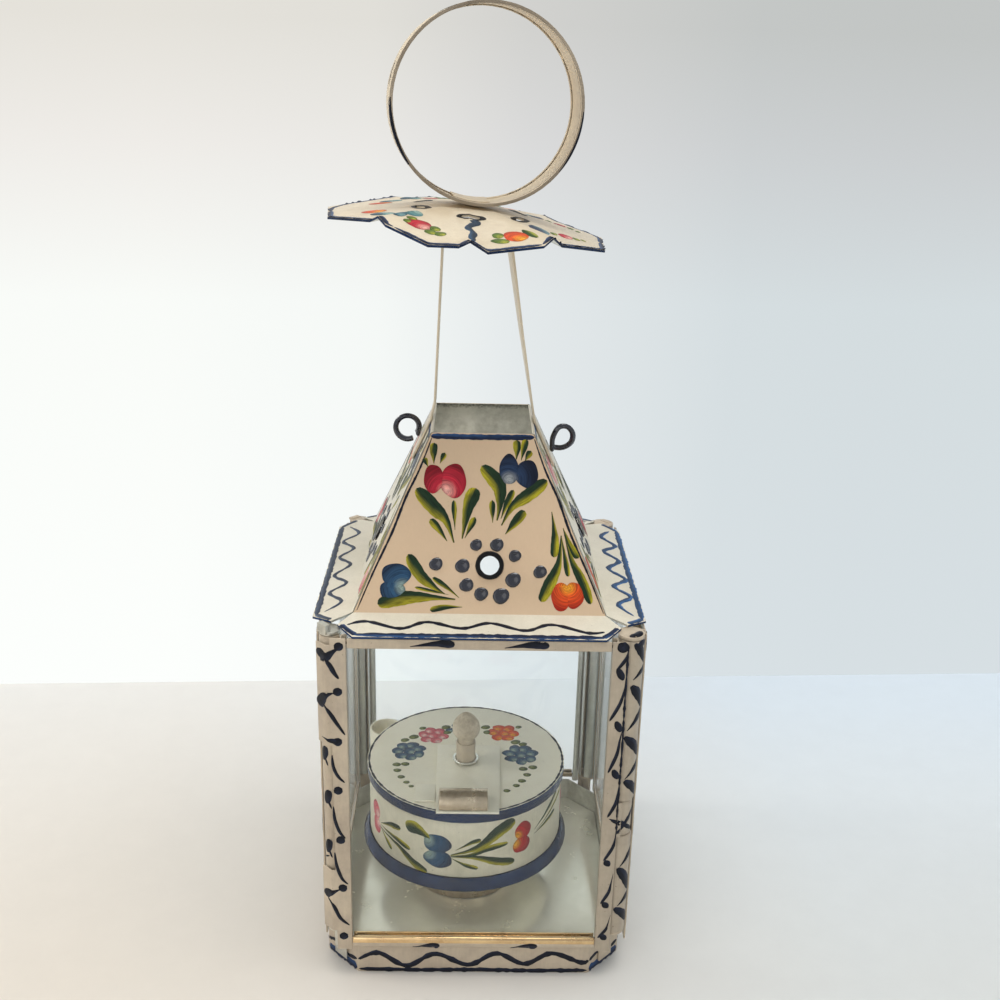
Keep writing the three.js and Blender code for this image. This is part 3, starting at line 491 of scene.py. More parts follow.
TIN = metal("tin", (0.82, 0.81, 0.74), (0.60, 0.59, 0.53))
TIN_POST = metal("tin_post", (0.74, 0.76, 0.74), (0.58, 0.60, 0.58), smooth=0.3, rough=0.5, bump=0.05)
TIN_DULL = metal("tin_dull", (0.74, 0.73, 0.66), (0.50, 0.49, 0.43), smooth=0.3, rough=0.6)
# pale, half-matt tin for the floor and the drum's underside, as painted reflection and painted light
PALE_TIN_LIT = metal("tin_pale_painted_light", (0.96, 0.93, 0.79), (0.86, 0.83, 0.69), smooth=0.14, rough=0.30, bump=0.05,
                  metallic=0.45)
# golden tin for the bead of the door's lower rail, a painted highlight
GOLD_GLINT = metal("tin_painted_gold_highlight", (0.86, 0.62, 0.34), (0.55, 0.36, 0.18), smooth=0.16, rough=0.34)
# browned tin on the pedestal and the grip; on the lower rails' inward faces it is a painted copper reflection
BROWNED_TIN_AND_GLINT = metal("tin_browned_and_painted_glint", (0.60, 0.49, 0.35), (0.36, 0.28, 0.20), smooth=0.2, rough=0.45)
SOOTY = metal("tin_sooty", (0.76, 0.75, 0.68), (0.52, 0.51, 0.45), smooth=0.3, rough=0.6)
sooted(SOOTY, SOOT_FROM, SOOT_TO)
GLASS = window_glass()
COTTON = cotton_cloth()
print("bare finishes", TIN.name, TIN_DULL.name, BROWNED_TIN_AND_GLINT.name, GLASS.name, COTTON.name)

# %% [markdown]
# ## From a model's solid to a folded sheet
#
# The engineering model has dead sharp edges. Folded tin has small round ones, and they catch the
# light. Most pieces here are copies of the model's solid with welded corners, a small bevel on
# each sharp edge and smooth shading on the rest. A second material goes on the faces that look
# into the lantern, where the tin is bare.

# %% Helpers for pieces
WELD = 0.000002                # metres: corners of the model closer than this become one
FLAT = math.radians(0.6)       # faces that meet at less than this become one
BEVEL_FROM = math.radians(35)  # edges sharper than this are rounded
INWARD = -0.35                 # a face looks inward from this share of its direction on
# the slots that a library user can repaint, and the materials in each
FINISHES = {
    "cream_paint": (CREAM, CREAM_LIT, CREAM_FRONT_SHADED, CREAM_CASE, CREAM_LID_LIT, CREAM_WALL, CREAM_RIGHT_SHADED, CREAM_RING,
                    HEM),
    "navy_paint": (NAVY, BLUE),
    "black_paint": (BLACK,),
    "tin": (TIN, TIN_DULL, TIN_POST, SOOTY, PALE_TIN_LIT, GOLD_GLINT, BROWNED_TIN_AND_GLINT),
    "glass": (GLASS,),
    "cotton": (COTTON,),
}
SLOTS = {material: slot for slot, materials in FINISHES.items() for material in materials}
BODIES = frame["record"]["behaviour"]["bodies"]
BODY_OF = {node: body for body, members in BODIES.items() for node in members}


def select_only(thing):
    """Leave edit mode and select one piece."""
    if bpy.context.object and bpy.context.object.mode != "OBJECT":
        bpy.ops.object.mode_set(mode="OBJECT")
    bpy.ops.object.select_all(action="DESELECT")
    bpy.context.view_layer.objects.active = thing
    thing.select_set(True)


def edit_all(thing):
    """Open a piece in edit mode with everything selected."""
    select_only(thing)
    bpy.ops.object.mode_set(mode="EDIT")
    bpy.ops.mesh.select_all(action="SELECT")


def apply_all(thing):
    """Close edit mode, apply the modifiers and put the piece's place into its mesh."""
    select_only(thing)
    for modifier in list(thing.modifiers):
        bpy.ops.object.modifier_apply(modifier=modifier.name)
    bpy.ops.object.transform_apply(location=True, rotation=True, scale=True)


def bevel(thing, width):
    """Round the sharp edges."""
    modifier = thing.modifiers.new("round_edges", "BEVEL")
    modifier.width = width
    modifier.segments = 2
    modifier.limit_method = "ANGLE"
    modifier.angle_limit = BEVEL_FROM
    modifier.use_clamp_overlap = True


def smooth(thing, angle=40):
    """Shade smoothly, but keep edges sharper than the angle."""
    select_only(thing)
    bpy.ops.object.shade_smooth_by_angle(angle=math.radians(angle))


def finish(thing, material, *nodes_replaced, body=None):
    """Give a piece its material, hide the model's pieces it stands for, and let it ride on their body or the
    one given.
    """
    if not thing.data.materials:
        thing.data.materials.append(material)
    if nodes_replaced:
        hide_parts(*nodes_replaced)
        body = body or BODY_OF[nodes_replaced[0]]
    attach(thing, body)


def merged_copy(node, name):
    """A copy of a model's piece as one whole skin, without the seams between its facets."""
    copy = nodes[node].copy()
    copy.data = nodes[node].data.copy()
    copy.name = name
    copy.parent = None
    for key in list(copy.keys()):
        del copy[key]
    bpy.context.scene.collection.objects.link(copy)
    copy.data.materials.clear()
    edit_all(copy)
    bpy.ops.mesh.remove_doubles(threshold=WELD)
    bpy.ops.mesh.dissolve_limited(angle_limit=FLAT)
    bpy.ops.object.mode_set(mode="OBJECT")
    return copy


def soften(node, width, material, *others, test=None):
    """A copy of a model's piece with rounded edges. The test gives each face its material's number."""
    piece = merged_copy(node, "tin_" + node)
    bevel(piece, width * MM)
    apply_all(piece)
    smooth(piece)
    for coat in (material, *others):
        piece.data.materials.append(coat)
    if test:
        for face in piece.data.polygons:
            face.material_index = int(test(face.center / MM, face.normal))
    finish(piece, material, node)


def looks_inward(centre, normal):
    """True on a face that looks towards the middle of the lantern."""
    flat = Vector((centre.x, centre.y, 0))
    return flat.length > 0 and normal.dot(flat.normalized()) < INWARD


# %% [markdown]
# ## Base, feet and posts
#
# The base is a low apron with cut corners, painted outside. Its floor is bare tin and mirrors
# what stands on it, and its pale, half-matt colour is a painted reflection of the bright wall.
# A rolled post stands over each corner on a small bracket, with a crimped cap.
# The front left cap and bracket have lost their paint.

# %% Base, feet and posts
CORNERS = ("front_left", "front_right", "rear_right", "rear_left")
soften("base_apron", 0.5, CREAM_CASE, TIN_DULL, test=looks_inward)
soften("base_floor", 0.1, PALE_TIN_LIT)
for corner in CORNERS:
    bare = corner == "front_left"
    soften("post_foot_" + corner, 0.2, TIN if bare else CREAM_CASE)
    soften("post_cap_" + corner, 0.35, TIN_DULL if bare else CREAM_CASE)
    if corner != "front_right":
        soften("post_" + corner, 0.15, CREAM_CASE, TIN_POST, test=looks_inward)
# the hinge rolls' darker cream is painted shade
for node in ("hinge_roll_lower", "hinge_roll_upper"):
    soften(node, 0.3, CREAM_RIGHT_SHADED)
soften("hinge_pin", 0.2, TIN_DULL)
print("base, feet and posts done")

# %% [markdown]
# ## Glazed sides and door
#
# Each side is a frame of folded strips round a pane: two stiles, a lower rail with a bead, and
# an upper rail. The strips are painted outside and bare inside, where the side frames' lower rails
# carry a painted copper reflection. On the door's lower rail the top of the bead is golden tin, a
# painted highlight.

# %% Glazed sides and door
RAIL_GLINT_FROM = 15.3     # mm: above this the door's lower rail is golden, a painted highlight
FOLD = 0.25               # mm: how round the folds of the strips are


def on_gold_glint(centre, normal):
    """True on the upper part of the door's lower rail, which carries a painted golden highlight."""
    return centre.z > RAIL_GLINT_FROM


for side in ("right", "rear", "left"):
    for part in ("stile_a", "stile_b", "rail_top"):
        soften(f"{side}_{part}", FOLD, CREAM_CASE, TIN_POST, test=looks_inward)
    # the lower rails' inward faces are brown tin, as a painted copper reflection
    soften(f"{side}_rail_bottom", FOLD, CREAM_CASE, BROWNED_TIN_AND_GLINT, test=looks_inward)
# the door's right stile takes the darker cream, as painted shade
for part, coat in (("stile_right", CREAM_RIGHT_SHADED), ("stile_left", CREAM_CASE), ("rail_top", CREAM_CASE)):
    soften("door_" + part, FOLD, coat, TIN_DULL, test=looks_inward)
soften("door_rail_bottom", FOLD, CREAM_CASE, GOLD_GLINT, test=on_gold_glint)
for side in ("right", "rear", "left", "door"):
    pane = nodes[side + "_glass"]
    pane.data.materials.clear()
    pane.data.materials.append(GLASS)
print("glazed sides and door done")

# %% [markdown]
# ## Roof
#
# Four panels lean together, each with its eave folded out and a vent punched through it. Their
# upper faces are cream, with a glossy black rim round the vent and a blue edge on the eave. The
# front slope's cream is darker, as painted shade, and the side slopes and the eaves' upper faces
# are a lighter cream, as painted light.
# Inside, soot has blackened the tin near the top. A test looks at where each face lies and
# which way it looks, and gives it one of five finishes.

# %% Roof
SLOPE_FOOT = 43.9         # distance from the middle to the foot of a slope, in mm
SLOPE_Z = 143.5           # height of the foot of a slope, in mm
RUNS = {"front": 0.4152, "right": 0.4464, "rear": 0.4152, "left": 0.4464}     # how far in for each mm up
TURNS = {"front": 0, "right": 90, "rear": 180, "left": 270}                   # degrees round the lantern
EAVE_TOP = SLOPE_Z + 0.4  # mm: all of an eave lies below this
VENT_FROM = SLOPE_Z + 6   # mm: all of a vent lies above this
PROUD = 0.06              # mm: how far a vent's rim stands out at least


def side_spin(side):
    """The turn from the front to a side of the lantern."""
    return Matrix.Rotation(math.radians(TURNS[side]), 3, "Z")


def above_slope(side, centre):
    """How far a point stands out from the outer face of a slope, in mm."""
    local = side_spin(side).transposed() @ centre
    lean = math.atan(RUNS[side])
    return (-local.y - SLOPE_FOOT) * math.cos(lean) + (local.z - SLOPE_Z) * math.sin(lean)


def roof_faces(side):
    """The test for one roof panel."""
    def test(centre, normal):
        out = side_spin(side).transposed() @ normal
        if centre.z < EAVE_TOP and out.z > 0.5:
            return 3                                          # the eave's upper face
        if out.y > 0.2 or out.z < -0.5:
            return 1                                          # inside and under the eave
        if above_slope(side, centre) > PROUD and centre.z > VENT_FROM:
            return 2                                          # the rim round the vent
        if centre.z < EAVE_TOP:
            return 4                                          # the eave's edge
        return 0
    return test


# The front slope's darker cream is painted shade, and the side slopes' lighter cream is painted light.
for side, slope in (("front", CREAM_FRONT_SHADED), ("right", CREAM_LIT), ("rear", CREAM), ("left", CREAM_LIT)):
    soften("roof_" + side, 0.3, slope, SOOTY, BLACK, CREAM_LIT, BLUE, test=roof_faces(side))
print("roof done")

# %% [markdown]
# ## Straps, eyelets, canopy and ring
#
# Two straps carry a crimped canopy over the roof's opening, and the ring handle stands on it.
# The canopy's folded rim is navy and its underside bare. The paint has worn off the front hem
# of the ring.

# %% Straps, eyelets, canopy and ring
CANOPY_RIM_FROM = 30      # mm from the middle: the canopy's rim lies outside this


def canopy_faces(centre, normal):
    """Cream above (0), bare below (1), navy on the rim (2)."""
    if normal.z < -0.5:
        return 1
    return 2 if normal.z < 0.6 and centre.xy.length > CANOPY_RIM_FROM else 0


def front_hem(centre, normal):
    """True on the front edge of the ring's band."""
    return abs(normal.y) > 0.75 and centre.y < 0


for side in ("left", "right"):
    soften("strap_" + side, 0.2, CREAM)
for side in ("left", "right"):
    soften("eyelet_" + side, 0.2, BLACK)
soften("canopy", 0.15, CREAM, TIN_DULL, NAVY, test=canopy_faces)
soften("ring_handle", 0.25, CREAM_RING, HEM, test=front_hem)
soften("ring_lap", 0.2, CREAM_RING)
print("straps, eyelets, canopy and ring done")

# %% [markdown]
# ## Burner and wick
#
# The burner is a drum under a lid, on a flared navy foot. It stands on a round pedestal. A small
# plate over its filler carries the wick tube and a curled grip of browned tin. The lid's cream is
# the palest of all, painted light that makes up for the shade under the roof, and its skirt is navy.

# %% Burner and wick
SKIRT_TOP = 57.3          # mm: the lid's skirt lies below this


def lid_skirt(centre, normal):
    """True on the skirt of the lid."""
    return normal.z < 0.6 and centre.z < SKIRT_TOP


# the drum's underside takes the pale floor tin, as painted light from the floor below it
for node, width, *coats in (
        ("burner_pedestal", 0.3, BROWNED_TIN_AND_GLINT), ("drum_bottom", 0.1, PALE_TIN_LIT), ("drum_wall", 0.2, CREAM_WALL),
        ("drum_foot", 0.3, NAVY), ("drum_lid", 0.35, CREAM_LID_LIT, NAVY), ("drum_finger_loop", 0.3, CREAM_LID_LIT),
        ("lid_stop_tab", 0.2, CREAM_LID_LIT), ("wick_plate", 0.2, CREAM_LID_LIT), ("wick_plate_grip", 0.25, BROWNED_TIN_AND_GLINT),
        ("wick_tube", 0.2, CREAM_CASE), ("wick_tube_collar", 0.3, TIN), ("wick", 0.3, COTTON)):
    soften(node, width, *coats, test=lid_skirt if node == "drum_lid" else None)
print("burner and wick done")

# %% [markdown]
# ## Brushwork
#
# The pattern is folk painting: each petal and leaf is one stroke of a brush that carries two
# colours, so a leaf is dark green on one side and yellow on the other. A picture on the surface
# would be flat. Here every stroke is a thin raised skin of paint, a small grid that follows the
# brush's path and is laid on the tin by casting rays at it, with the two colours mixed across
# its points. An operator can't lay a grid along a curve on a bent sheet, so these are built in
# code.

# %% Oil colours and the paint skin's material
HAIR_RELIEF = 0.0004      # height of the brush marks, in metres
LEAF = ((0.012, 0.034, 0.014), (0.46, 0.40, 0.022))          # dark edge and yellow edge
INK = ((0.006, 0.008, 0.016), (0.016, 0.022, 0.045))
PITCH = ((0.003, 0.003, 0.004), (0.008, 0.008, 0.010))
INK_BLUE = ((0.010, 0.020, 0.055), (0.03, 0.085, 0.22))
SEA_BLUE = ((0.018, 0.055, 0.14), (0.035, 0.14, 0.36))
INK_GREY = ((0.03, 0.045, 0.08), (0.10, 0.13, 0.19))


def brushed_colour():
    """The colour comes from the strokes' own points. Streaks follow the stroke by its UV map."""
    material, tree, shader = new_material("brushed_colour")
    own = add(tree, "VertexColor", layer_name="pigment").outputs["Color"]
    stretch = add(tree, "Mapping")
    stretch.inputs["Scale"].default_value = (4.5, 0.5, 1)
    plug(tree, add(tree, "UVMap", uv_map="brush").outputs["UV"], stretch.inputs["Vector"])
    hair = noise(tree, stretch.outputs["Vector"], 0.5, 4, 0.6)
    streak = ramp(tree, hair, [(0.34, (0.5, 0.5, 0.52)), (0.5, (0.95, 0.95, 0.95)),
                               (0.68, (1.38, 1.34, 1.28))])
    plug(tree, mix(tree, 1.0, own, streak, "MULTIPLY"), shader.inputs["Base Color"])
    shader.inputs["Roughness"].default_value = 0.42
    shader.inputs["Specular IOR Level"].default_value = 0.2
    relief(tree, shader, hair, 0.25, HAIR_RELIEF)
    return material


PIGMENT = brushed_colour()
SLOTS[PIGMENT] = "navy_paint"
print("oil colours and", PIGMENT.name, "ready")

# %% [markdown]
# ## Where a stroke lies
#
# A painter's brush follows the sheet. Here a flat map in mm stands for each painted face, and
# every point of a stroke is cast along the map's outward direction onto the real mesh of the
# piece. The same pattern can so be laid on a plane, a rolled post or a drum.

# %% Where a stroke lies
class Sheet:
    """A painted surface with its own flat map in mm, and the pieces that the paint is laid on."""

    def __init__(self, point, pieces, reach):
        self.point, self.reach, self.depth = point, reach, reach
        bm = bmesh.new()
        for name in pieces:
            bm.from_mesh(bpy.data.objects[name].data)
        self.tree = BVHTree.FromBMesh(bm)
        bm.free()

    def lay(self, a, b, lift):
        """The place on the tin under (a, b) of the map, lifted off it by a little."""
        place, out = self.point(a, b)
        start = place + out * self.reach
        distance = self.tree.ray_cast(start * MM, -out, 2 * self.reach * MM)[3]
        if distance is not None:
            self.depth = distance / MM          # past an edge the paint keeps the last depth
        spot = (start + out * (lift - self.depth)) * MM
        # The paint never reaches past the model's own box.
        return Vector(min(max(v, low), high) for v, low, high in zip(spot, *cad_box))


def flat_map(corner, right, up):
    """The map of a plane: its zero point and the two directions of the map, all in mm."""
    corner, right, up = Vector(corner), Vector(right).normalized(), Vector(up).normalized()
    out = right.cross(up)
    return lambda a, b: (corner + right * a + up * b, out)


def round_map(x, y, radius):
    """The map of an upright cylinder: arc length from its front, and height."""
    def point(a, b):
        angle = a / radius - math.pi / 2
        out = Vector((math.cos(angle), math.sin(angle), 0))
        return Vector((x, y, b)) + out * radius, out
    return point


def ellipse(centre, across, up, degrees):
    """The points of an ellipse in the directions given."""
    return [(centre[0] + across * math.cos(math.radians(a)), centre[1] + up * math.sin(math.radians(a)))
            for a in degrees]


print("maps of flat and round sheets ready")

# %% [markdown]
# ## How a stroke swells
#
# A brush that is pressed down and pulled away leaves a round head and a long tail. A line is
# even along its way, and a vine swells in the middle. Each profile tells the width of a stroke,
# from 0 to 1, at each part of its way.

# %% How a stroke swells
LEAF_HEAD = 0.26          # share of a leaf that is its round head


def bend(values, t):
    """A smooth curve through the points of a list, at t from 0 to 1."""
    if len(values) == 2:
        return values[0].lerp(values[1], t)
    along = t * (len(values) - 1)
    i = min(int(along), len(values) - 2)
    f = along - i
    p = [values[max(i - 1, 0)], values[i], values[i + 1], values[min(i + 2, len(values) - 1)]]
    return 0.5 * ((2 * p[1]) + (p[2] - p[0]) * f + (2 * p[0] - 5 * p[1] + 4 * p[2] - p[3]) * f * f
                  + (3 * p[1] - p[0] - 3 * p[2] + p[3]) * f * f * f)


def leaf_width(t):
    """A round head, then a tail that thins out."""
    if t < LEAF_HEAD:
        return math.sqrt(max(0.0, 1 - (1 - t / LEAF_HEAD) ** 2))
    return 0.10 + 0.90 * math.cos((t - LEAF_HEAD) / (1 - LEAF_HEAD) * math.pi / 2) ** 1.8


PROFILES = {
    "leaf": leaf_width,
    "line": lambda t: min(1.0, math.sqrt(max(0.0, t * 12)), math.sqrt(max(0.0, (1 - t) * 12))),
    "dot": lambda t: math.sqrt(max(0.0, 1 - (2 * t - 1) ** 2)),
    "even": lambda t: 1.0,
    "oval": lambda t: math.sin(math.pi * min(1, max(0, 0.03 + 0.94 * t))) ** 0.55,
    "vine": lambda t: 0.25 + 0.75 * math.sin(math.pi * min(1, t * 1.02)) ** 0.7,
}


def blend(first, second, t):
    """A colour between two others."""
    return tuple(f + (s - f) * t for f, s in zip(first, second))


print("profiles", list(PROFILES))

# %% [markdown]
# ## The brush
#
# The brush collects the strokes of one piece and makes one mesh of them, so a whole garland
# rides on its piece as one object. A stroke is a domed strip with the darker paint along one
# edge. A petal is a domed disc whose tones turn about a light spot, where the brush was lifted.

# %% The brush
STEP = 0.9                # mm between the rows of points along a stroke
COLUMNS = 7               # points across a stroke
RINGS, SPOKES = 9, 30     # rows and points round a petal
STROKE_LIFT, PETAL_LIFT = 0.04, 0.05                      # mm from the tin to the edge of the paint
PETAL_DOME = 0.16         # mm from the edge up to the middle of a petal


class Brush:
    """Collects the strokes of one piece and makes one mesh of them."""

    def __init__(self, point, *pieces, reach=3):
        self.sheet = Sheet(point, pieces, reach)
        self.points, self.faces, self.colours, self.maps = [], [], [], []

    def skin(self, rows, columns, closed=False):
        """Add the faces of a grid whose points were just added."""
        start = len(self.points) - rows * columns
        for r in range(rows - 1):
            for c in range(columns if closed else columns - 1):
                d = (c + 1) % columns
                self.faces.append((start + r * columns + c, start + r * columns + d,
                                   start + (r + 1) * columns + d, start + (r + 1) * columns + c))

    def stroke(self, path, width, colours, profile="leaf", thick=0.10, shake=0.03, hand=1):
        """One pull of the brush along map points, head first. Hand -1 puts the colours the other way."""
        path = [Vector((*p, 0)) for p in path]
        length = sum((b - a).length for a, b in zip(path, path[1:]))
        rows = max(7, min(60, int(length / STEP) + 4))
        seed = random.uniform(0, 50)
        for r in range(rows):
            t = r / (rows - 1)
            here = bend(path, t)
            way = bend(path, min(1, t + 0.02)) - bend(path, max(0, t - 0.02))
            side = Vector((-way.y, way.x, 0)).normalized()
            wobble = 1 + shake * (math.sin(seed + t * length * 0.9) + math.sin(seed * 3 + t * length * 2.3))
            half = width / 2 * PROFILES[profile](t) * wobble
            for c in range(COLUMNS):
                e = 2 * c / (COLUMNS - 1) - 1
                spot = here + side * e * half
                dome = thick * (1 - e * e) * min(1, half * 2)
                self.points.append(self.sheet.lay(spot.x, spot.y, STROKE_LIFT + dome))
                share = 0.5 + 0.5 * e * hand + 0.14 * math.sin(seed + t * 5 + e * 2)
                share = min(1, max(0, (share - 0.46) / 0.40))
                tone = blend(colours[0], colours[1], share)
                self.colours.append(blend(tone, colours[0], 0.35 * t))
                self.maps.append((e * half + seed * 7, t * length + seed))
        self.skin(rows, COLUMNS)

    def petal(self, centre, size, colours, light, reach=1.0, turn=0.0):
        """A round petal. The brush turns about a light place, so the streaks bend round it."""
        seed = random.uniform(0, 50)
        centre, light = Vector(centre), Vector(light)
        across, up = size
        for r in range(RINGS):
            for c in range(SPOKES):
                angle = 2 * math.pi * c / SPOKES
                wobble = 1 + 0.03 * math.sin(3 * angle + seed) + 0.02 * math.sin(5 * angle + seed * 2)
                share = (r / (RINGS - 1)) ** 0.8 * wobble if r else 0.02
                x, y = across * share * math.cos(angle), up * share * math.sin(angle)
                spot = centre + Vector((x * math.cos(turn) - y * math.sin(turn),
                                        x * math.sin(turn) + y * math.cos(turn)))
                dome = PETAL_DOME * (1 - share * share)
                self.points.append(self.sheet.lay(spot.x, spot.y, PETAL_LIFT + dome))
                away = (spot - light).length / (reach * (across + up))
                bearing = math.atan2(spot.y - light.y, spot.x - light.x)
                tone = blend(colours[2], colours[1], min(1, max(0, (away - 0.06) / 0.34)))
                tone = blend(tone, colours[0], min(1, max(0, (away - 0.5) / 0.5)))
                tone = blend(tone, colours[0], 0.45 * max(0, share - 0.8) / 0.2)
                self.colours.append(tone)
                self.maps.append(((spot - light).length + seed * 5, bearing * 2.2 + seed))
        self.skin(RINGS, SPOKES, closed=True)
        start = len(self.points) - RINGS * SPOKES
        self.faces.append(tuple(start + c for c in reversed(range(SPOKES))))

    def dry(self, name, body):
        """Make the mesh of all the strokes and let it ride on a body."""
        mesh = bpy.data.meshes.new(name)
        mesh.from_pydata([tuple(p) for p in self.points], [], self.faces)
        colour = mesh.color_attributes.new("pigment", "FLOAT_COLOR", "POINT")
        colour.data.foreach_set("color", [v for c in self.colours for v in (*c, 1)])
        layer = mesh.uv_layers.new(name="brush")
        for loop in mesh.loops:
            layer.data[loop.index].uv = self.maps[loop.vertex_index]
        piece = bpy.data.objects.new(name, mesh)
        bpy.context.scene.collection.objects.link(piece)
        edit_all(piece)
        bpy.ops.mesh.normals_make_consistent(inside=False)
        bpy.ops.object.mode_set(mode="OBJECT")
        smooth(piece, 60)
        self.face_out(piece)
        finish(piece, PIGMENT, body=body)
        print(name, len(mesh.polygons), "faces")

    def face_out(self, piece):
        """Turn any stroke whose faces look into the tin."""
        flip = []
        for face in piece.data.polygons:
            spot, normal, _, _ = self.sheet.tree.find_nearest(face.center)
            if spot is not None and (face.center - spot).dot(face.normal) < 0:
                flip.append(face.index)
        bm = bmesh.new()
        bm.from_mesh(piece.data)
        bm.faces.ensure_lookup_table()
        bmesh.ops.reverse_faces(bm, faces=[bm.faces[i] for i in flip])
        bm.to_mesh(piece.data)
        bm.free()


print("brush ready")

# %% [markdown]
# ## Flowers on the roof
#
# Each slope carries four two-lobed flowers with leaves that spring from one point, painted round
# a punched vent and a ring of closed dents. The pattern is written once in mm across and up the
# slope. The other slopes have it with the leaves moved a little and the flowers' colours changed
# about, as a painter would who does four panels in a row.

# %% Roof pattern
CRIMSON = ((0.22, 0.006, 0.014), (0.52, 0.022, 0.045), (0.85, 0.45, 0.38))
DEEP_BLUE = ((0.006, 0.010, 0.026), (0.018, 0.040, 0.095), (0.36, 0.38, 0.38))
SKY_BLUE = ((0.010, 0.026, 0.06), (0.028, 0.085, 0.17), (0.32, 0.42, 0.36))
ORANGE = ((0.42, 0.022, 0.010), (0.72, 0.085, 0.016), (0.88, 0.40, 0.03))
PINK = ((0.60, 0.12, 0.14), (0.80, 0.32, 0.30), (0.90, 0.62, 0.55))
# centre, half width and half height of each lobe, then the light place
FLOWERS = [
    ([((-16.8, 46.6), (3.5, 5.0)), ((-9.9, 46.0), (4.5, 6.0))], (-12.6, 42.4)),
    ([((9.3, 50.3), (3.4, 5.3)), ((15.6, 48.8), (4.0, 4.9))], (9.4, 46.6)),
    ([((-29.2, 13.2), (5.1, 4.0)), ((-30.4, 7.8), (4.4, 3.5))], (-26.9, 8.8)),
    ([((28.0, 6.4), (3.4, 5.0)), ((32.5, 6.9), (3.4, 4.6))], (30.4, 9.8)),
]
# path from head to tail, width, and which edge is yellow (1 or -1)
LEAVES = [
    ([(-16.9, 59.2), (-17.0, 55.5), (-16.8, 51.9)], 2.4, -1), ([(-13.0, 55.8), (-14.7, 52.0)], 1.8, 1),
    ([(-20.3, 54.0), (-18.8, 50.7)], 1.7, 1),
    ([(-22.8, 43.2), (-16.4, 36.5), (-12.2, 32.0), (-9.4, 24.6)], 4.5, -1),
    ([(-17.8, 32.6), (-14.6, 29.0), (-11.8, 25.1)], 2.3, -1), ([(-9.7, 39.4), (-9.1, 29.0)], 1.6, 1),
    ([(-2.0, 43.6), (-4.6, 37.0), (-6.6, 26.0)], 4.3, -1), ([(-2.2, 33.6), (-5.6, 26.3)], 2.0, -1),
    ([(11.8, 60.6), (12.0, 57.0), (11.8, 53.8)], 2.4, -1), ([(15.1, 61.2), (13.5, 53.5)], 2.2, -1),
    ([(16.9, 57.0), (14.8, 53.3)], 2.1, 1), ([(-0.3, 51.4), (5.6, 45.0), (6.4, 39.0), (5.4, 32.5)], 4.6, -1),
    ([(22.6, 46.8), (16.0, 41.4), (10.6, 37.2), (7.0, 30.8)], 4.1, 1),
    ([(11.0, 43.2), (8.6, 38.0), (6.8, 33.2)], 2.1, 1),
    ([(3.6, 39.6), (3.9, 31.7)], 1.9, -1), ([(15.1, 36.0), (11.4, 31.6), (8.4, 27.8)], 3.0, 1),
    ([(-25.2, 20.4), (-21.0, 13.4), (-16.4, 9.4), (-12.3, 6.8)], 3.7, -1),
    ([(-16.6, 12.4), (-12.0, 9.4), (-7.3, 5.6)], 1.6, -1),
    ([(-22.8, 9.0), (-11.0, 6.6)], 1.1, -1),
    ([(-35.4, 3.0), (-27.0, 5.2), (-18.0, 5.6), (-8.6, 5.0)], 4.4, -1),
    ([(-17.3, 1.2), (-12.0, 2.3), (-6.2, 2.4)], 1.9, 1),
    ([(25.4, 20.0), (25.6, 27.0), (24.4, 35.8)], 2.6, -1),
    ([(21.0, 4.6), (24.4, 11.6), (27.0, 18.0), (27.8, 27.6)], 3.7, -1),
    ([(30.4, 13.4), (29.4, 19.0), (27.9, 27.0)], 1.7, -1),
    ([(38.4, 4.0), (35.2, 12.0), (31.6, 19.0), (28.9, 28.0)], 2.9, -1),
    ([(33.9, 19.8), (30.8, 24.4), (28.4, 30.2)], 2.3, -1),
]
LEAF_SPREAD = 1.15        # the paint spreads a little wider than the brush
VENT_SPOT, VENT_EDGE = (3.1, 16.9), 4.15     # middle of the vent on a slope, and radius of its black ring
SLOPE_TOP = 61.5          # mm up the slope to its upper end
# middle and radius of each dent
DENTS = [(-1.7, 23.9, 2.4), (5.5, 24.0, 2.7), (11.8, 20.3, 2.5), (11.3, 12.0, 3.1), (7.2, 6.4, 3.3),
         (0.3, 7.0, 2.8), (-4.8, 10.0, 2.8), (-6.3, 16.6, 2.9), (-15.5, 17.1, 2.7), (20.6, 14.9, 2.7)]


def slope_map(side):
    """The map of a slope: mm across it, and up it from its foot."""
    lean = math.atan(RUNS[side])
    spin = side_spin(side)
    foot = spin @ Vector((0, -SLOPE_FOOT, SLOPE_Z))
    return flat_map(foot, spin @ Vector((1, 0, 0)), spin @ Vector((0, math.sin(lean), math.cos(lean))))


def slope_edge(side, up, inset):
    """How far the edge of a slope is from its middle line at a height, less an inset, in mm."""
    narrow = RUNS["right" if side in ("front", "rear") else "front"]
    fall = narrow * math.cos(math.atan(RUNS[side]))
    return SLOPE_FOOT - up * fall - inset


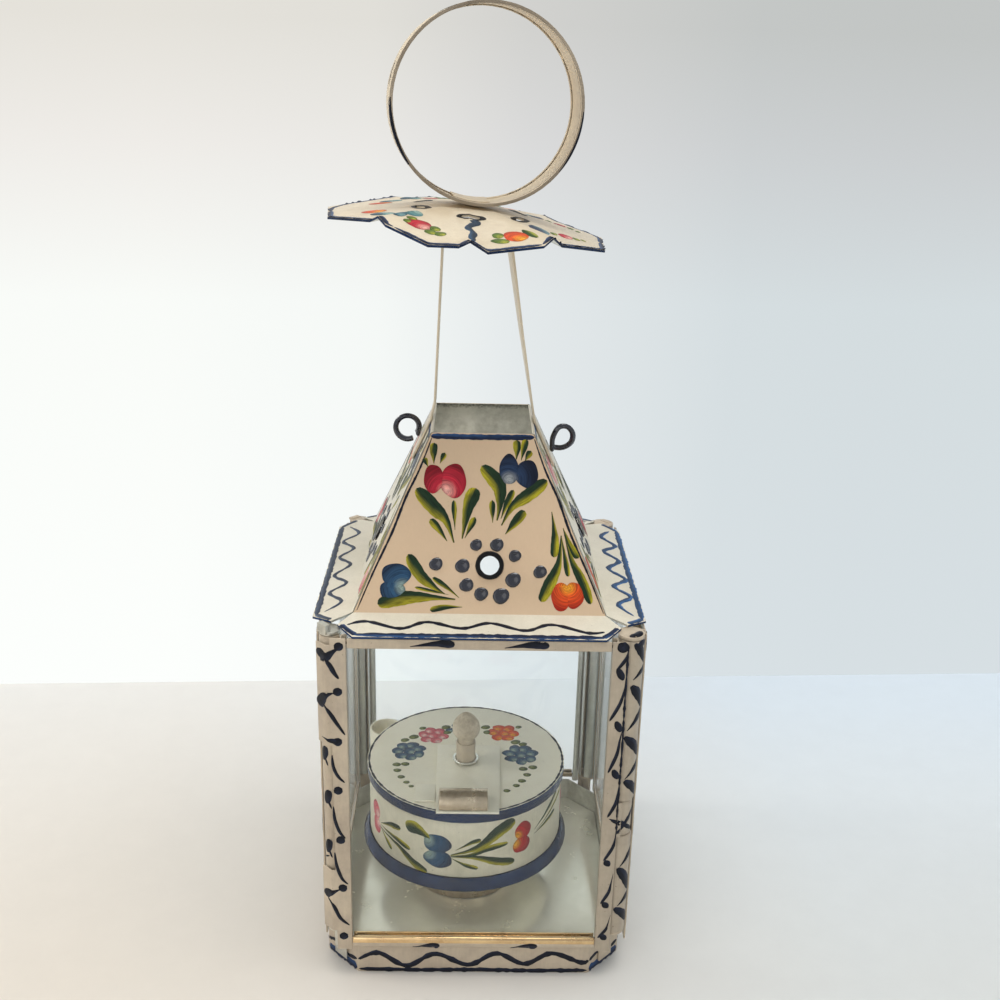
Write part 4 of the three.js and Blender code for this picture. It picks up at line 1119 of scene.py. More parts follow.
def paint_slope(side, palette):
    """Leaves, flowers, edge lines and the black ring round the vent of one slope."""
    brush = Brush(slope_map(side), "tin_roof_" + side)
    shift = random.Random(side)
    for path, width, hand in LEAVES:
        dx, dy = (0, 0) if side == "front" else (shift.uniform(-0.6, 0.6), shift.uniform(-0.6, 0.6))
        brush.stroke([(x + dx, y + dy) for x, y in path], width * LEAF_SPREAD, LEAF, hand=hand)
    for (lobes, light), colours in zip(FLOWERS, palette):
        for centre, size in lobes:
            brush.petal(centre, size, colours, light)
    for sign, inset in ((-1, 1.1), (1, 0.75)):
        path = [(sign * slope_edge(side, up, inset + sway), up)
                for up, sway in ((61, 0), (50, 0.5), (40, 0), (28, 0.5), (14, 0), (0.8, 0))]
        brush.stroke(path, 0.85, INK, "vine", thick=0.08, shake=0.12)
    end = slope_edge(side, SLOPE_TOP + 0.1, 0.4)
    top_line = [(-end, SLOPE_TOP), (0, SLOPE_TOP - 0.1), (end, SLOPE_TOP + 0.1)]
    brush.stroke(top_line, 1.9, INK_BLUE, "line", thick=0.1, shake=0.08)
    ring = ellipse(VENT_SPOT, VENT_EDGE, VENT_EDGE, range(90, 451, 18))
    brush.stroke(ring, 1.7, PITCH, "even", thick=0.12, shake=0.04)
    brush.dry("brushwork_roof_" + side, "lantern")


for side, palette in (("front", (CRIMSON, DEEP_BLUE, SKY_BLUE, ORANGE)),
                      ("right", (PINK, SKY_BLUE, ORANGE, CRIMSON)),
                      ("rear", (DEEP_BLUE, CRIMSON, PINK, SKY_BLUE)),
                      ("left", (ORANGE, DEEP_BLUE, CRIMSON, PINK))):
    paint_slope(side, palette)

# %% [markdown]
# ## Closed dents round the vents
#
# Round each open vent a punch has left shallow dents that don't go through, and glossy black
# paint covers them. A disc is inset five times, up to a lip and down to a hollow, and pulled a
# little out of round. The mesh tools do this well, since each step is one inset.

# %% Closed dents round the vents
DENT_SIZE = 0.86          # how large a dent is made against the radius in the list
DENT_CORNERS = 20
# inset as a share of the radius, and height in mm, from the outer edge to the hollow
DENT_STEPS = ((0.14, 0.34), (0.12, 0.08), (0.18, -0.16), (0.2, -0.14), (0.16, -0.05))


def make_dent(place, out, radius, up, wobble):
    """One dent on its spot, a little out of round."""
    turn = out.to_track_quat("Z", "Y").to_euler()
    bpy.ops.mesh.primitive_circle_add(vertices=DENT_CORNERS, radius=radius * MM * DENT_SIZE, fill_type="NGON",
                                      location=(place + out * 0.02) * MM, rotation=turn)
    dent = bpy.context.object
    bpy.ops.object.mode_set(mode="EDIT")
    for thickness, depth in DENT_STEPS:
        bpy.ops.mesh.inset(thickness=radius * thickness * MM, depth=depth * MM)
    bpy.ops.mesh.poke()
    bpy.ops.object.mode_set(mode="OBJECT")
    for vertex in dent.data.vertices:
        angle = math.atan2(vertex.co.y, vertex.co.x)
        oval = 0.05 * math.sin(2 * angle + wobble.uniform(0, 1))
        vertex.co.xy *= 1 + oval + 0.03 * math.sin(3 * angle + up)
    apply_all(dent)
    return dent


def dents(side):
    """All dents of one slope as one piece under glossy black paint."""
    flat = slope_map(side)
    wobble = random.Random(side + "dents")
    made = [make_dent(*flat(x, up), radius, up, wobble) for x, up, radius in DENTS]
    for dent in made:
        dent.select_set(True)
    bpy.context.view_layer.objects.active = made[0]
    bpy.ops.object.join()
    dent = bpy.context.object
    dent.name = "dents_" + side
    smooth(dent, 80)
    finish(dent, BLACK, body="lantern")
    print(dent.name, len(dent.data.vertices), "points")


for side in TURNS:
    dents(side)

# %% [markdown]
# ## Lines on the eaves
#
# A thick blue line runs along each eave's edge with a thin wave inside it. The front wave goes
# through the points seen in the photograph. Those on the right and left are drawn by a rule with
# small random shifts, so that no two turns of them are the same.

# %% Eaves
EAVE_SLOPE = 0.1643       # how far an eave drops for each mm outward
WAVE_TURNS, WAVE_SWING = 10, 2.7


def eave_map(side):
    """The map of an eave: mm along it, and outward from the foot of the slope."""
    spin = side_spin(side)
    foot = spin @ Vector((0, -SLOPE_FOOT, SLOPE_Z))
    down = spin @ Vector((0, -1, -EAVE_SLOPE))
    inner = flat_map(foot, spin @ Vector((1, 0, 0)), -down)
    return lambda a, b: inner(a, -b)


EAVE_EDGE = [(-42.6, 12.9), (-20, 13.0), (0, 12.8), (20, 13.0), (42.6, 12.9)]
FRONT_WAVE = [(-45.2, 7.4), (-38.6, 5.2), (-27.0, 9.1), (-18.0, 5.1), (-6.2, 8.6), (3.5, 5.3), (15.3, 9.4),
              (24.5, 5.7), (36.5, 10.2), (42.5, 9.6)]


def even_wave(side):
    """The points of a wave along an eave, each a little off its place."""
    shake = random.Random(side + "eave")
    path = []
    for i in range(WAVE_TURNS + 1):
        swing = WAVE_SWING if i % 2 == 0 else -WAVE_SWING
        x, y = -41 + 82 * i / WAVE_TURNS, 8.0 + swing * (0.8 if i in (0, WAVE_TURNS) else 1)
        path.append((x + shake.uniform(-0.8, 0.8), y + shake.uniform(-0.4, 0.4)))
    return path


def paint_eave(side, edge, wave, path, width):
    """The line along the edge of an eave, its two ends and the wave inside it."""
    brush = Brush(eave_map(side), "tin_roof_" + side)
    brush.stroke(EAVE_EDGE, 2.3, edge, "line", thick=0.08, shake=0.14)
    for sign in (-1, 1):
        brush.stroke([(sign * 41.6, 13.0), (sign * 44.6, 10.3), (sign * 47.2, 7.2)], 1.9, edge, "line")
    brush.stroke(path, width, wave, "line", thick=0.08, shake=0.15)
    brush.dry("brushwork_eave_" + side, "lantern")


paint_eave("front", INK_BLUE, INK, FRONT_WAVE, 1.6)
paint_eave("right", SEA_BLUE, SEA_BLUE, even_wave("right"), 2.0)
paint_eave("rear", INK_BLUE, INK, FRONT_WAVE, 1.6)
paint_eave("left", INK_GREY, INK_GREY, even_wave("left"), 1.5)

# %% [markdown]
# ## The apron and the door's rails
#
# The apron has a black wave over a dark lower edge, and its cut corners a blue foot. On the
# door's rails are four short comma strokes, two on the upper rail and two on the lower one.

# %% Apron and rails
# distances from the middle of the lantern to the painted faces, in mm
APRON_FACE, CORNER_FACE = 55.6, 69.9
FRAME_FACE, LEFT_FACE, RAIL_BEAD = 57.4, 55.6, 58.3
APRON_CRESTS = [(-43.4, 5.6), (-35.6, 8.8), (-25.1, 2.9), (-14.4, 8.5), (-2.0, 3.5), (8.5, 8.9), (19.2, 4.1),
                (29.2, 9.1), (40.2, 5.0), (43.4, 5.9)]
APRON_EDGE = [(-43.2, 1.3), (-20, 0.9), (0, 1.2), (22, 0.9), (43.2, 1.3)]


def turned_map(turn, distance):
    """The map of an upright face: mm across it and above the table."""
    spin = Matrix.Rotation(math.radians(turn), 3, "Z")
    return flat_map(spin @ Vector((0, -distance, 0)), spin @ Vector((1, 0, 0)), (0, 0, 1))


def side_map(side, distance):
    """The map of an upright face on one side of the lantern."""
    return turned_map(TURNS[side], distance)


def paint_apron(side):
    """One side of the apron and the cut corner beside it."""
    brush = Brush(side_map(side, APRON_FACE), "tin_base_apron")
    for path, width in ((APRON_CRESTS, 2.1), (APRON_EDGE, 2.0)):
        brush.stroke(path, width, INK, "line", thick=0.1, shake=0.14)
    corner = Brush(turned_map(TURNS[side] - 45, CORNER_FACE), "tin_base_apron")
    corner.stroke([(-8.3, 1.9), (0, 1.7), (8.3, 1.9)], 3.4, INK_BLUE, "line", thick=0.1, shake=0.1)
    corner.stroke([(-8.3, 5.6), (-3.5, 6.8), (2, 4.4), (8.3, 5.8)], 1.6, INK, "line", thick=0.1, shake=0.14)
    brush.dry("brushwork_apron_" + side, "lantern")
    corner.dry("brushwork_corner_" + side, "lantern")


for side in TURNS:
    paint_apron(side)
rail = Brush(side_map("front", FRAME_FACE), "tin_door_rail_top", "tin_door_rail_bottom")
rail.stroke([(-8.3, 138.5), (-14, 138.8), (-23.4, 137.6)], 2.9, INK)
rail.stroke([(23.6, 138.5), (17, 138.7), (8.5, 137.5)], 2.9, INK)
rail.sheet.point = side_map("front", RAIL_BEAD)
rail.stroke([(-12.6, 14.2), (-17, 14.4), (-22.7, 13.2)], 2.7, INK, thick=0.03)
rail.stroke([(23.7, 14.2), (19, 14.4), (13.6, 13.2)], 2.7, INK, thick=0.03)
rail.dry("brushwork_door_rails", "door")

# %% [markdown]
# ## Posts
#
# On the posts the leaves are plain black strokes, one over another like the marks on a bamboo
# cane. The map of a post is its unrolled skin: arc length round it, and height. The two lengths
# of the front right roll and the knuckle between them are separate pieces, so each has its own
# strokes, and those on the knuckle swing with the door.

# %% Posts
RIGHT_X, LEFT_X, POST_Y = 51.8, -50.9, 51.8               # where the posts stand, in mm
RIGHT_R, LEFT_R, KNUCKLE_R = 4.6, 3.7, 4.2                # their radii, and the knuckle's
ROLL_LOW, ROLL_HIGH = 20, 139.6                           # mm: heights between which a post is painted
KNUCKLE_LOW, KNUCKLE_HIGH = 61, 77                        # mm: heights between which the knuckle is


def arc(degrees, radius):
    """Arc length from the front of a post to a direction given in degrees."""
    return math.radians(degrees + 90) * radius


# direction in degrees and height in mm of the head, then of the tail, and width
ROLL_LEAVES = [
    ((-81, 139.2), (-5, 130.4), 2.4), ((-84, 123.2), (-5, 113.4), 2.8), ((-99, 103.1), (-5, 94.0), 2.7),
    ((-88, 85.3), (0, 77.6), 2.6), ((-90, 48.4), (-5, 36.6), 2.9), ((-94, 30.6), (-5, 22.9), 2.6),
    ((5, 129.0), (-79, 125.4), 2.2), ((5, 112.6), (-90, 105.5), 2.4), ((5, 91.6), (-86, 85.9), 2.2),
    ((5, 55.0), (-81, 48.9), 2.4), ((5, 35.6), (-80, 31.5), 2.3), ((-75, 137.6), (-10, 138.6), 2.0)]


def paint_roll(brush, radius, low, high, turn=0):
    """Leaves within a range of height, wrapped round a post."""
    for head, tail, width in ROLL_LEAVES:
        if low < min(head[1], tail[1]) and max(head[1], tail[1]) < high:
            a, c = arc(head[0] + turn, radius), arc(tail[0] + turn, radius)
            middle = ((a + c) / 2, (head[1] + tail[1]) / 2 + 0.12 * abs(c - a))
            shape = "oval" if a < c else "leaf"
            path = [(a, head[1]), middle, (c, tail[1])]
            brush.stroke(path, width * 1.3, INK, shape, thick=0.1, shake=0.05)


brush = Brush(round_map(RIGHT_X, -POST_Y, RIGHT_R), "tin_hinge_roll_lower", "tin_hinge_roll_upper")
paint_roll(brush, RIGHT_R, ROLL_LOW, KNUCKLE_LOW)
paint_roll(brush, RIGHT_R, KNUCKLE_HIGH, ROLL_HIGH)
brush.dry("brushwork_hinge_rolls", "lantern")

CAP_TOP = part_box("post_cap_front_right")[1].z / MM - 0.3
brush = Brush(flat_map((0, 0, CAP_TOP), (1, 0, 0), (0, 1, 0)), "tin_post_cap_front_right")
brush.stroke([(50.6, -55.2), (53.4, -54.2), (55.3, -51.4)], 2.7, INK, "oval", thick=0.35)
brush.dry("brushwork_cap", "lantern")

brush = Brush(round_map(RIGHT_X, -POST_Y, KNUCKLE_R), "tin_door_stile_right")
for (head, low), (tail, high) in (((-104, 63.6), (-12, 72.9)), ((-128, 70.0), (-12, 63.2))):
    path = [(arc(head, KNUCKLE_R), low), (arc(tail, KNUCKLE_R), high)]
    brush.stroke(path, 1.8, INK, "vine", thick=0.1, shake=0.1)
brush.dry("brushwork_knuckle", "door")

for corner, x, radius, turn in (("rear_right", RIGHT_X, RIGHT_R, 90), ("rear_left", LEFT_X, LEFT_R, 180)):
    brush = Brush(round_map(x, POST_Y, radius), "tin_post_" + corner)
    paint_roll(brush, radius, ROLL_LOW, ROLL_HIGH, turn)
    brush.dry("brushwork_post_" + corner, "lantern")

brush = Brush(round_map(LEFT_X, -POST_Y, LEFT_R), "tin_post_front_left")
for degrees, height in ((-141.8, 93.8), (-127.3, 76.2), (-131.4, 55.4)):
    a = arc(degrees, LEFT_R)
    blot = [(a + 1.2, height + 3.2), (a + 0.3, height + 0.4), (a - 0.3, height - 2.6)]
    brush.stroke(blot, 3.4, INK, "oval")
    brush.stroke([(a + 0.2, height - 0.5), (a + 1.8, height - 4.4)], 1.0, INK, "vine")
brush.stroke([(arc(-120, LEFT_R), 51.6), (arc(-160, LEFT_R), 50.2)], 0.7, INK, "vine")
for step in range(5):                                     # the outer side, seen from the left
    height = 126 - 24 * step
    path = [(arc(degrees, LEFT_R), height - drop) for degrees, drop in ((-235, 0), (-205, 3), (-175, 7))]
    brush.stroke(path, 2.4, INK)
brush.dry("brushwork_post_front_left", "lantern")

# %% [markdown]
# ## Stiles of the door and of the sides
#
# Each stile has stems with a blob between them, from top to bottom. The door's left stile folds
# back over the post at 45 degrees, so its map runs over the flat part and on over the fold.

# %% Stiles of the door and of the sides
# from the top to the foot of each stem, and of each blob, in mm across and up
STILE_STEMS = [((50.2, 135.9), (47.6, 130.9)), ((49.7, 121.4), (46.2, 111.2)), ((49.4, 102.5), (46.8, 90.4)),
               ((49.8, 80.1), (47.6, 72.0)), ((50.0, 61.2), (47.2, 53.4)), ((49.5, 41.7), (47.1, 34.5)),
               ((49.2, 23.3), (46.8, 19.2))]
STILE_BLOBS = [((47.0, 130.0), (49.2, 126.4)), ((47.6, 109.4), (49.4, 106.2)), ((47.7, 90.0), (49.4, 87.2)),
               ((46.8, 51.8), (48.6, 50.4)), ((47.0, 33.4), (49.0, 32.0)), ((47.0, 18.9), (49.0, 17.6)),
               ((47.8, 139.3), (49.4, 139.1))]


def paint_stile(brush, sign=1):
    """Stems and blobs on one stile. Sign -1 mirrors them onto the left one."""
    for top, foot in STILE_STEMS:
        bow = ((top[0] + foot[0]) / 2 + 0.5, (top[1] + foot[1]) / 2)
        path = [(foot[0] - 0.9, foot[1] - 1.4), bow, top, (50.2, min(top[1] + 5, 139.4))]
        brush.stroke([(sign * x, z) for x, z in path], 1.3, INK)
    for head, tail in STILE_BLOBS:
        path = [(sign * head[0], head[1] + 0.5), (sign * tail[0], tail[1] - 0.5)]
        brush.stroke(path, 2.6, INK, "oval", thick=0.12)


brush = Brush(side_map("front", FRAME_FACE), "tin_door_stile_right")
paint_stile(brush)
brush.petal((48.5, 138.3), (2.1, 2.0), (INK[0], INK[0], INK[1]), (48.5, 138.3))
brush.dry("brushwork_stile_right", "door")
for side in ("right", "rear", "left"):
    face = LEFT_FACE if side == "left" else FRAME_FACE
    brush = Brush(side_map(side, face), f"tin_{side}_stile_a", f"tin_{side}_stile_b")
    for sign in (-1, 1):
        paint_stile(brush, sign)
    brush.dry("brushwork_stiles_" + side, "lantern")

LAP_START, LAP_BEND = -45.0, 6.95      # mm: where the stile starts, and how far left of it the fold is
LAP_LEAVES = [([(10.8, 132.4), (9.8, 133.4), (7.0, 133.2), (4.4, 135.2), (2.0, 137.0)], 4.6),
              ([(11.0, 113.2), (9.8, 115.6), (7.4, 118.4), (4.2, 119.6)], 4.4),
              ([(10.6, 34.0), (9.4, 36.0), (6.6, 37.4), (3.6, 38.8)], 3.6),
              ([(3.6, 100.4), (6.2, 100.9), (10.0, 101.3)], 2.0)]
LAP_VINES = [([(7.8, 133.2), (5.6, 130.2), (4.2, 127.4), (2.6, 125.0)], 1.8),
             ([(9.6, 115.0), (6.6, 112.6), (3.6, 107.6), (0.9, 103.2)], 1.5),
             ([(9.4, 33.8), (6.6, 31.4), (4.2, 26.0), (0.9, 22.8)], 1.5),
             ([(5.6, 95.0), (5.2, 90.2), (3.6, 86.4), (1.4, 84.0)], 1.3),
             ([(5.6, 74.0), (5.2, 68.6), (3.6, 63.4), (1.6, 60.8)], 1.3),
             ([(5.6, 54.6), (5.0, 49.0), (3.2, 43.4), (1.1, 41.0)], 1.3)]
LAP_DOTS = [(2.4, 137.2), (3.1, 120), (3.5, 100.4), (3.8, 80.7), (3.4, 60), (3.0, 39.3), (3.1, 17.9)]


def lap_map(a, b):
    """The door's left stile unfolded: mm leftwards over the flat part, then over its 45-degree fold."""
    if a < LAP_BEND:
        return Vector((LAP_START - a, -FRAME_FACE, b)), Vector((0, -1, 0))
    fold = (a - LAP_BEND) / math.sqrt(2)
    return Vector((LAP_START - LAP_BEND - fold, -FRAME_FACE + fold, b)), Vector((-1, -1, 0)).normalized()


brush = Brush(lap_map, "tin_door_stile_left")
for path, width in LAP_LEAVES:
    brush.stroke(path, width, INK, "leaf", thick=0.14)
for path, width in LAP_VINES:
    brush.stroke(path, width, INK, "vine", thick=0.1)
for a, b in LAP_DOTS:
    brush.stroke([(a + 1.5, b - 0.9), (a - 1.5, b + 0.9)], 3.3, INK, "dot", thick=0.12)
brush.dry("brushwork_stile_left", "door")

# The deep gap between the right stile and the roll beside it is painted black, as painted shade in the
# groove.
brush = Brush(side_map("front", FRAME_FACE), "tin_door_stile_right")
gap = [(50.3, 139.0), (50.2, 118), (50.35, 98), (50.2, 80), (50.3, 63)]
brush.stroke(gap, 0.75, INK, "line", thick=0.03, shake=0.3)
brush.dry("gap_painted_shade", "door")

# %% [markdown]
# ## Flowers on the drum
#
# Round the drum runs a garland of two-lobed flowers and long leaves. Its map is the unrolled
# wall, so a place in the garland is a direction in degrees and a height in mm.

# %% Drum
DRUM_X, DRUM_Y, DRUM_R = -4.1, 3.5, 39.0
ROSE_PINK = ((0.45, 0.035, 0.06), (0.66, 0.13, 0.16), (0.86, 0.60, 0.54))
TWO_TONE = ((0.25, 0.006, 0.010), (0.48, 0.016, 0.018), (0.84, 0.42, 0.02))
OLIVE = ((0.025, 0.045, 0.015), (0.09, 0.12, 0.03), (0.24, 0.26, 0.08))


# path from head to tail, width, and which edge is yellow (1 or -1)
DRUM_LEAVES = [
    ([(-111.5, 28.4), (-120, 30.6), (-132, 35.4), (-148.5, 37.6)], 3.4, 1),
    ([(-122.5, 36.2), (-133, 38.0), (-148.0, 38.8)], 2.5, -1),
    ([(-129.5, 43.6), (-138, 42.6), (-148, 39.6)], 2.7, 1),
    ([(-137.0, 31.4), (-142, 34.4), (-148.5, 37.6)], 1.9, -1),
    ([(-125.5, 45.6), (-120, 47.0), (-113, 45.4), (-107.5, 42.8)], 5.6, 1),
    ([(-60.5, 51.0), (-70, 47.6), (-82, 41.6), (-97.5, 38.0)], 5.4, 1),
    ([(-64.5, 41.4), (-76, 40.6), (-86, 38.4), (-98.0, 37.6)], 2.6, -1),
    ([(-80.6, 44.8), (-86, 43.8), (-95, 40.2)], 2.0, 1),
    ([(-60.0, 32.0), (-70, 33.8), (-84, 37.0), (-97.5, 37.2)], 3.6, 1),
    ([(-82.0, 32.0), (-89, 33.6), (-97.5, 36.6)], 1.9, -1), ([(-22, 51.4), (-33, 47.6), (-46, 42.4)], 2.2, 1),
    ([(-24, 43.6), (-34, 42.4), (-46, 40.6)], 2.0, 1), ([(-10, 49.4), (-26, 46.6), (-44, 41.6)], 1.7, -1)]
# centre, half width and half height, light place, colours
DRUM_FLOWERS = [
    ((-154.5, 43.4), (3.6, 3.9), (-151, 42.0), ROSE_PINK),
    ((-153.5, 37.0), (3.3, 3.9), (-150.5, 38.6), ROSE_PINK),
    ((-105.6, 42.2), (5.6, 4.2), (-111.6, 43.4), SKY_BLUE),
    ((-105.2, 35.4), (5.8, 3.9), (-111.0, 37.6), SKY_BLUE),
    ((-54.6, 44.8), (3.9, 3.9), (-59.0, 42.8), TWO_TONE),
    ((-55.4, 38.6), (4.1, 3.7), (-60.0, 39.8), TWO_TONE)]


def drum_point(degrees, height, turn):
    """A place in the garland, moved round the drum by a turn, as a point of the map."""
    return arc(degrees + turn, DRUM_R), height


brush = Brush(round_map(DRUM_X, DRUM_Y, DRUM_R), "tin_drum_wall")
for turn in (0, 150):                                     # the hidden half has the garland once more
    for path, width, hand in DRUM_LEAVES:
        brush.stroke([drum_point(*p, turn) for p in path], width, LEAF, hand=hand)
    for centre, size, light, colours in DRUM_FLOWERS:
        brush.petal(drum_point(*centre, turn), size, colours, drum_point(*light, turn))
brush.dry("brushwork_drum", "burner")

# %% [markdown]
# ## Flowers on the lid
#
# On the lid two roses, two blue flowers and a small blue one sit between green leaves, with a row
# of green touches near the rim. Each of these flowers is a cluster of short round dabs, and each
# dab is lighter where the brush was lifted.

# %% Lid
LID_Z, LID_EDGE = 57.5, 39.2                              # height of the lid and radius of its edge line
# middle, spread of the dabs, size of a dab, colours and number round the middle
LID_FLOWERS = [(-18.0, 19.0, 4.1, 2.4, ROSE_PINK, 6), (11.4, 21.6, 4.3, 2.5, ORANGE, 6),
               (-27.4, 6.8, 4.6, 2.5, SKY_BLUE, 7), (18.2, 5.0, 4.8, 2.6, SKY_BLUE, 7),
               (-9.0, 24.2, 2.6, 1.7, SKY_BLUE, 3)]
LID_LEAVES = [(-12.8, 25.6, 2.0), (-12.2, 21.6, 1.9), (4.0, 26.0, 2.0), (4.8, 22.0, 1.9), (-26.0, 17.6, 2.1),
              (-29.6, 15.0, 1.8), (16.4, 14.4, 2.1), (19.4, 12.8, 1.8), (-22.6, 24.6, 1.5), (18.0, 26.4, 1.4)]
LID_TOUCHES = [(-31.8, -3.4, 1.7), (-28.4, -3.0, 1.7), (-31.3, -7.6, 1.6), (-29.5, -12.2, 1.5),
               (-27.2, -15.9, 1.3), (-25.2, -18.6, 1.1), (22.8, -4.4, 1.8), (18.9, -5.6, 1.8),
               (20.3, -9.8, 1.6), (18.1, -14.1, 1.6), (15.8, -17.4, 1.4), (12.0, -21.0, 1.4)]


def dabs(brush, x, y, spread, size, colours, count):
    """A flower of round dabs, one in the middle and the rest round it."""
    for i in range(count + 1):
        angle = 2 * math.pi * i / count + x
        far = spread if i < count else 0
        spot = (x + far * math.cos(angle), y + far * math.sin(angle))
        light = (spot[0] + size * 0.5 * math.cos(angle + 2), spot[1] - size * 0.5)
        stretch = random.uniform(0.85, 1.15)
        brush.petal(spot, (size * stretch, size / stretch), colours, light, 0.9)


brush = Brush(flat_map((0, 0, LID_Z), (1, 0, 0), (0, 1, 0)), "tin_drum_lid")
for flower in LID_FLOWERS:
    dabs(brush, *flower)
for x, y, size in LID_LEAVES:
    brush.petal((x, y), (size, size * 0.8), OLIVE, (x - size * 0.3, y - size * 0.4), turn=0.4)
for x, y, size in LID_TOUCHES:
    brush.petal((x, y), (size, size * 0.8), OLIVE, (x - size * 0.3, y))
rim = ellipse((DRUM_X, DRUM_Y), LID_EDGE, LID_EDGE, range(-90, 271, 12))
for start in range(0, 30, 10):
    brush.stroke(rim[start:start + 11], 0.8, INK, "line", thick=0.05, shake=0.3)
brush.dry("brushwork_lid", "burner")

# %% [markdown]
# ## Touches on the canopy
#
# Small touches of every colour go round the canopy, each beside a green one. Black lines frame its
# vents, drawn wide over the openings as painted shade inside them, and a navy line runs along the
# whole rim. The brush finds the rim by feeling outward from the middle until there is no more tin.

# %% Canopy
CANOPY_X, CANOPY_Z = -6.0, 270.0                          # where its axis stands, and its height, in mm
CANOPY_TURN = Matrix.Rotation(math.radians(5.3), 3, "Y")
VENTS, VENT_RING, VENT_FIRST = 6, 19.3, -89               # number, distance in mm, first direction
RIM_LINE_IN = 0.95        # mm from the rim to the middle of its navy line
TEAL = ((0.010, 0.030, 0.06), (0.025, 0.10, 0.15), (0.2, 0.36, 0.38))
PALE_TEAL = ((0.03, 0.12, 0.15), (0.12, 0.28, 0.29), (0.34, 0.50, 0.44))
GREEN = ((0.03, 0.075, 0.02), (0.12, 0.19, 0.03), (0.42, 0.42, 0.06))
RIM_FROM, RIM_TO, RIM_STEP = 30, 50, 0.1                  # mm: where the brush feels for the rim
# paths of distance and direction, then width and colours
CANOPY_STROKES = [([(32.7, -58.4), (41.0, -57.8)], 2.8, (GREEN[0], GREEN[2])),
                  ([(24.6, -31.6), (33.4, -41.0)], 6.4, (DEEP_BLUE[1], TEAL[2])),
                  ([(44.0, -88.0), (40.0, -88.4), (35.6, -87.4), (31.4, -90.6), (27.6, -88.0), (24.5, -84.0),
                    (21.4, -86.0)], 2.4, (TEAL[0], SKY_BLUE[1])),
                  ([(22.4, -86.6), (26.0, -85.0)], 3.4, (TEAL[0], SKY_BLUE[1]))]


def canopy_map(a, b):
    """The canopy seen along its own axis."""
    out = CANOPY_TURN @ Vector((0, 0, 1))
    return Vector((CANOPY_X, 0, CANOPY_Z)) + CANOPY_TURN @ Vector((a, b, 0)), out


def wheel(radius, degrees):
    """A map point from its distance and direction."""
    return radius * math.cos(math.radians(degrees)), radius * math.sin(math.radians(degrees))


def rim_at(sheet, degrees):
    """How far out the tin reaches in a direction, in mm."""
    radius = RIM_FROM
    while radius < RIM_TO:
        place, out = sheet.point(*wheel(radius, degrees))
        if sheet.tree.ray_cast((place + out * sheet.reach) * MM, -out)[0] is None:
            return radius - RIM_STEP
        radius += RIM_STEP
    return RIM_TO


# distance from the middle, direction, half width across and half depth, colours
TOUCHES = [(34.3, -158.0, 4.2, 3.4, ORANGE), (33.8, -143.0, 2.6, 2.6, PALE_TEAL),
           (35.0, -131.0, 2.8, 3.6, TEAL), (34.4, -122.5, 1.8, 1.6, GREEN), (37.8, -121.0, 1.6, 1.6, GREEN),
           (36.4, -115.8, 4.2, 3.8, CRIMSON), (35.3, -107.7, 1.9, 2.0, GREEN),
           (38.9, -107.8, 2.0, 2.0, GREEN), (38.6, -103.2, 2.0, 2.0, GREEN),
           (35.5, -74.8, 1.9, 2.4, GREEN), (40.2, -75.4, 3.0, 2.0, GREEN), (37.2, -66.2, 4.0, 4.6, ORANGE),
           (32.6, -30.1, 1.3, 1.6, GREEN), (35.6, -24.7, 2.5, 3.0, CRIMSON), (38.6, -20.7, 1.4, 2.0, GREEN),
           (40.3, -16.5, 1.0, 1.6, GREEN), (35.6, 146.0, 3.0, 3.0, TEAL), (30.0, 128.0, 3.4, 3.0, PALE_TEAL)]
brush = Brush(canopy_map, "tin_canopy", reach=16)
for mirrored in (1, -1):                                  # the rear half is the front half mirrored
    for radius, degrees, across, deep, colours in TOUCHES:
        spot = wheel(radius, degrees * mirrored)
        brush.petal(spot, (across, deep), colours, (spot[0] + across * 0.5, spot[1] - deep * 0.5 * mirrored))
    for path, width, colours in CANOPY_STROKES:
        path = [wheel(radius, degrees * mirrored) for radius, degrees in path]
        brush.stroke(path, width, colours, "oval" if len(path) == 2 else "line")
for i in range(VENTS):
    direction = Matrix.Rotation(math.radians(VENT_FIRST + 360 / VENTS * i), 2)
    # black paint round each vent, wide enough to close most of the opening: a real outline plus painted shade
    vent_outline_and_shade = [direction @ Vector(p) for p in ellipse((VENT_RING, 0), 1.7, 4.0, range(0, 361, 20))]
    brush.stroke(vent_outline_and_shade, 2.0, PITCH, "even", thick=0.1, shake=0.1)
for start in range(0, 360, 60):
    edge = [wheel(rim_at(brush.sheet, degrees) - RIM_LINE_IN, degrees)
            for degrees in range(start, start + 63, 3)]
    brush.stroke(edge, 1.9, INK_BLUE, "line", thick=0.06, shake=0.1)
brush.dry("brushwork_canopy", "lantern")

# %% [markdown]
# ## Lines on the ring
#
# The ring has hem lines along its edges inside, and a few loose black strokes outside and on the
# front edge of its band. Its map is a direction round the ring, as a length, and the distance
# across the band.

# %% Ring
RING_PLACE = Vector((-1.4, 0, 309.29))                    # middle of the ring, in mm
RING_TURN = Matrix.Rotation(math.radians(7), 3, "Z")
RING_R, RING_INSIDE, RING_EDGE = 32.1, 31.2, 31.55        # its outer face, inner face and front edge
RING_BAND = 19.0                                          # width of its band
HEM_IN = 1.9                                              # mm from an edge of the band to its hem line
HEM_LINE = ((0.30, 0.24, 0.17), (0.40, 0.33, 0.24))
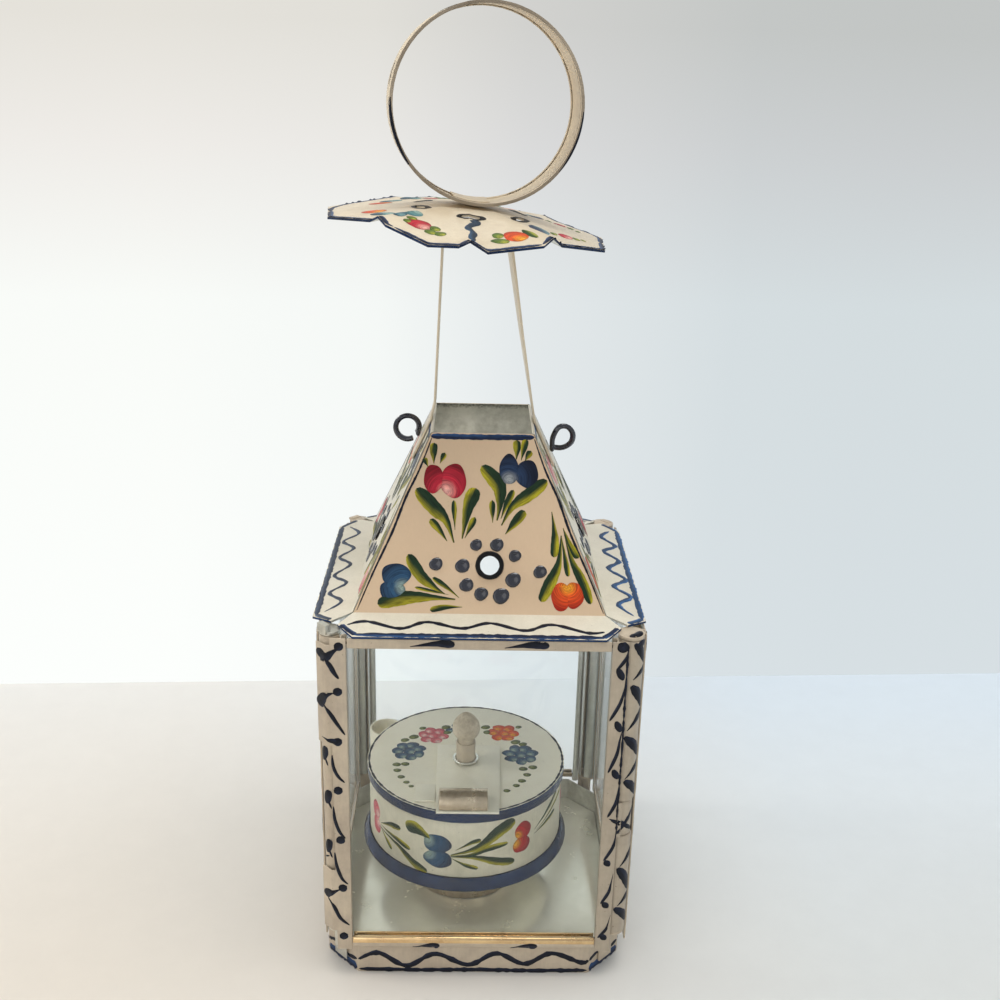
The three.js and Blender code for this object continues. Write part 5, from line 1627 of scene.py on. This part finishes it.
# directions of start and end in degrees from the top, place across the band, width
RING_STROKES = [(-86, -126, -7.4, 3.6), (-66, -80, 1.2, 1.6), (74, 92, -3.6, 2.0), (92, 130, -7.8, 3.0),
                (14, 30, -7.6, 3.4), (-30, -16, -0.8, 1.6), (40, 58, -2.0, 1.6), (150, 166, 1.0, 1.6)]


def ring_map(radius, outward):
    """One face of the ring: mm clockwise from its top, and across its band."""
    def point(a, b):
        angle = a / RING_R
        out = RING_TURN @ Vector((math.sin(angle), 0, math.cos(angle)))
        return RING_PLACE + out * radius + RING_TURN @ Vector((0, b, 0)), out * outward
    return point


def ring_edge_map(a, b):
    """The front edge of the band: mm clockwise from the top, and outward from its middle."""
    out = RING_TURN @ Vector((math.sin(a / RING_R), 0, math.cos(a / RING_R)))
    front = RING_TURN @ Vector((0, -1, 0))
    return RING_PLACE + out * (RING_EDGE + b) + front * RING_BAND / 2, front


def round_ring(degrees):
    """A direction from the top of the ring as a length on its map."""
    return math.radians(degrees) * RING_R


brush = Brush(ring_map(RING_R, 1), "tin_ring_handle")
for start, end, shift, width in RING_STROKES:
    s, e = round_ring(start), round_ring(end)
    brush.stroke([(s, shift - 0.6), ((s + e) / 2, shift + 0.5), (e, shift - 0.2)], width, INK, "vine")
brush.dry("brushwork_ring", "lantern")

brush = Brush(ring_map(RING_INSIDE, -1), "tin_ring_handle", reach=2)
for start, end in ((-165, -60), (-60, 60), (60, 165)):
    for side in (-1, 1):
        across = side * (RING_BAND / 2 - HEM_IN)
        path = [(round_ring(start + (end - start) * k / 8), across) for k in range(9)]
        brush.stroke(path, 0.4, HEM_LINE, "line", thick=0.05, shake=0.0)
brush.dry("brushwork_ring_inside", "lantern")

brush = Brush(ring_edge_map, "tin_ring_handle")
for start, end, width in ((92, 130, 0.7), (-126, -86, 1.0)):
    s, e = round_ring(start), round_ring(end)
    brush.stroke([(s, 0.25), ((s + e) / 2, 0.15), (e, 0.25)], width, INK, "vine", thick=0.04)
brush.dry("brushwork_ring_edge", "lantern")
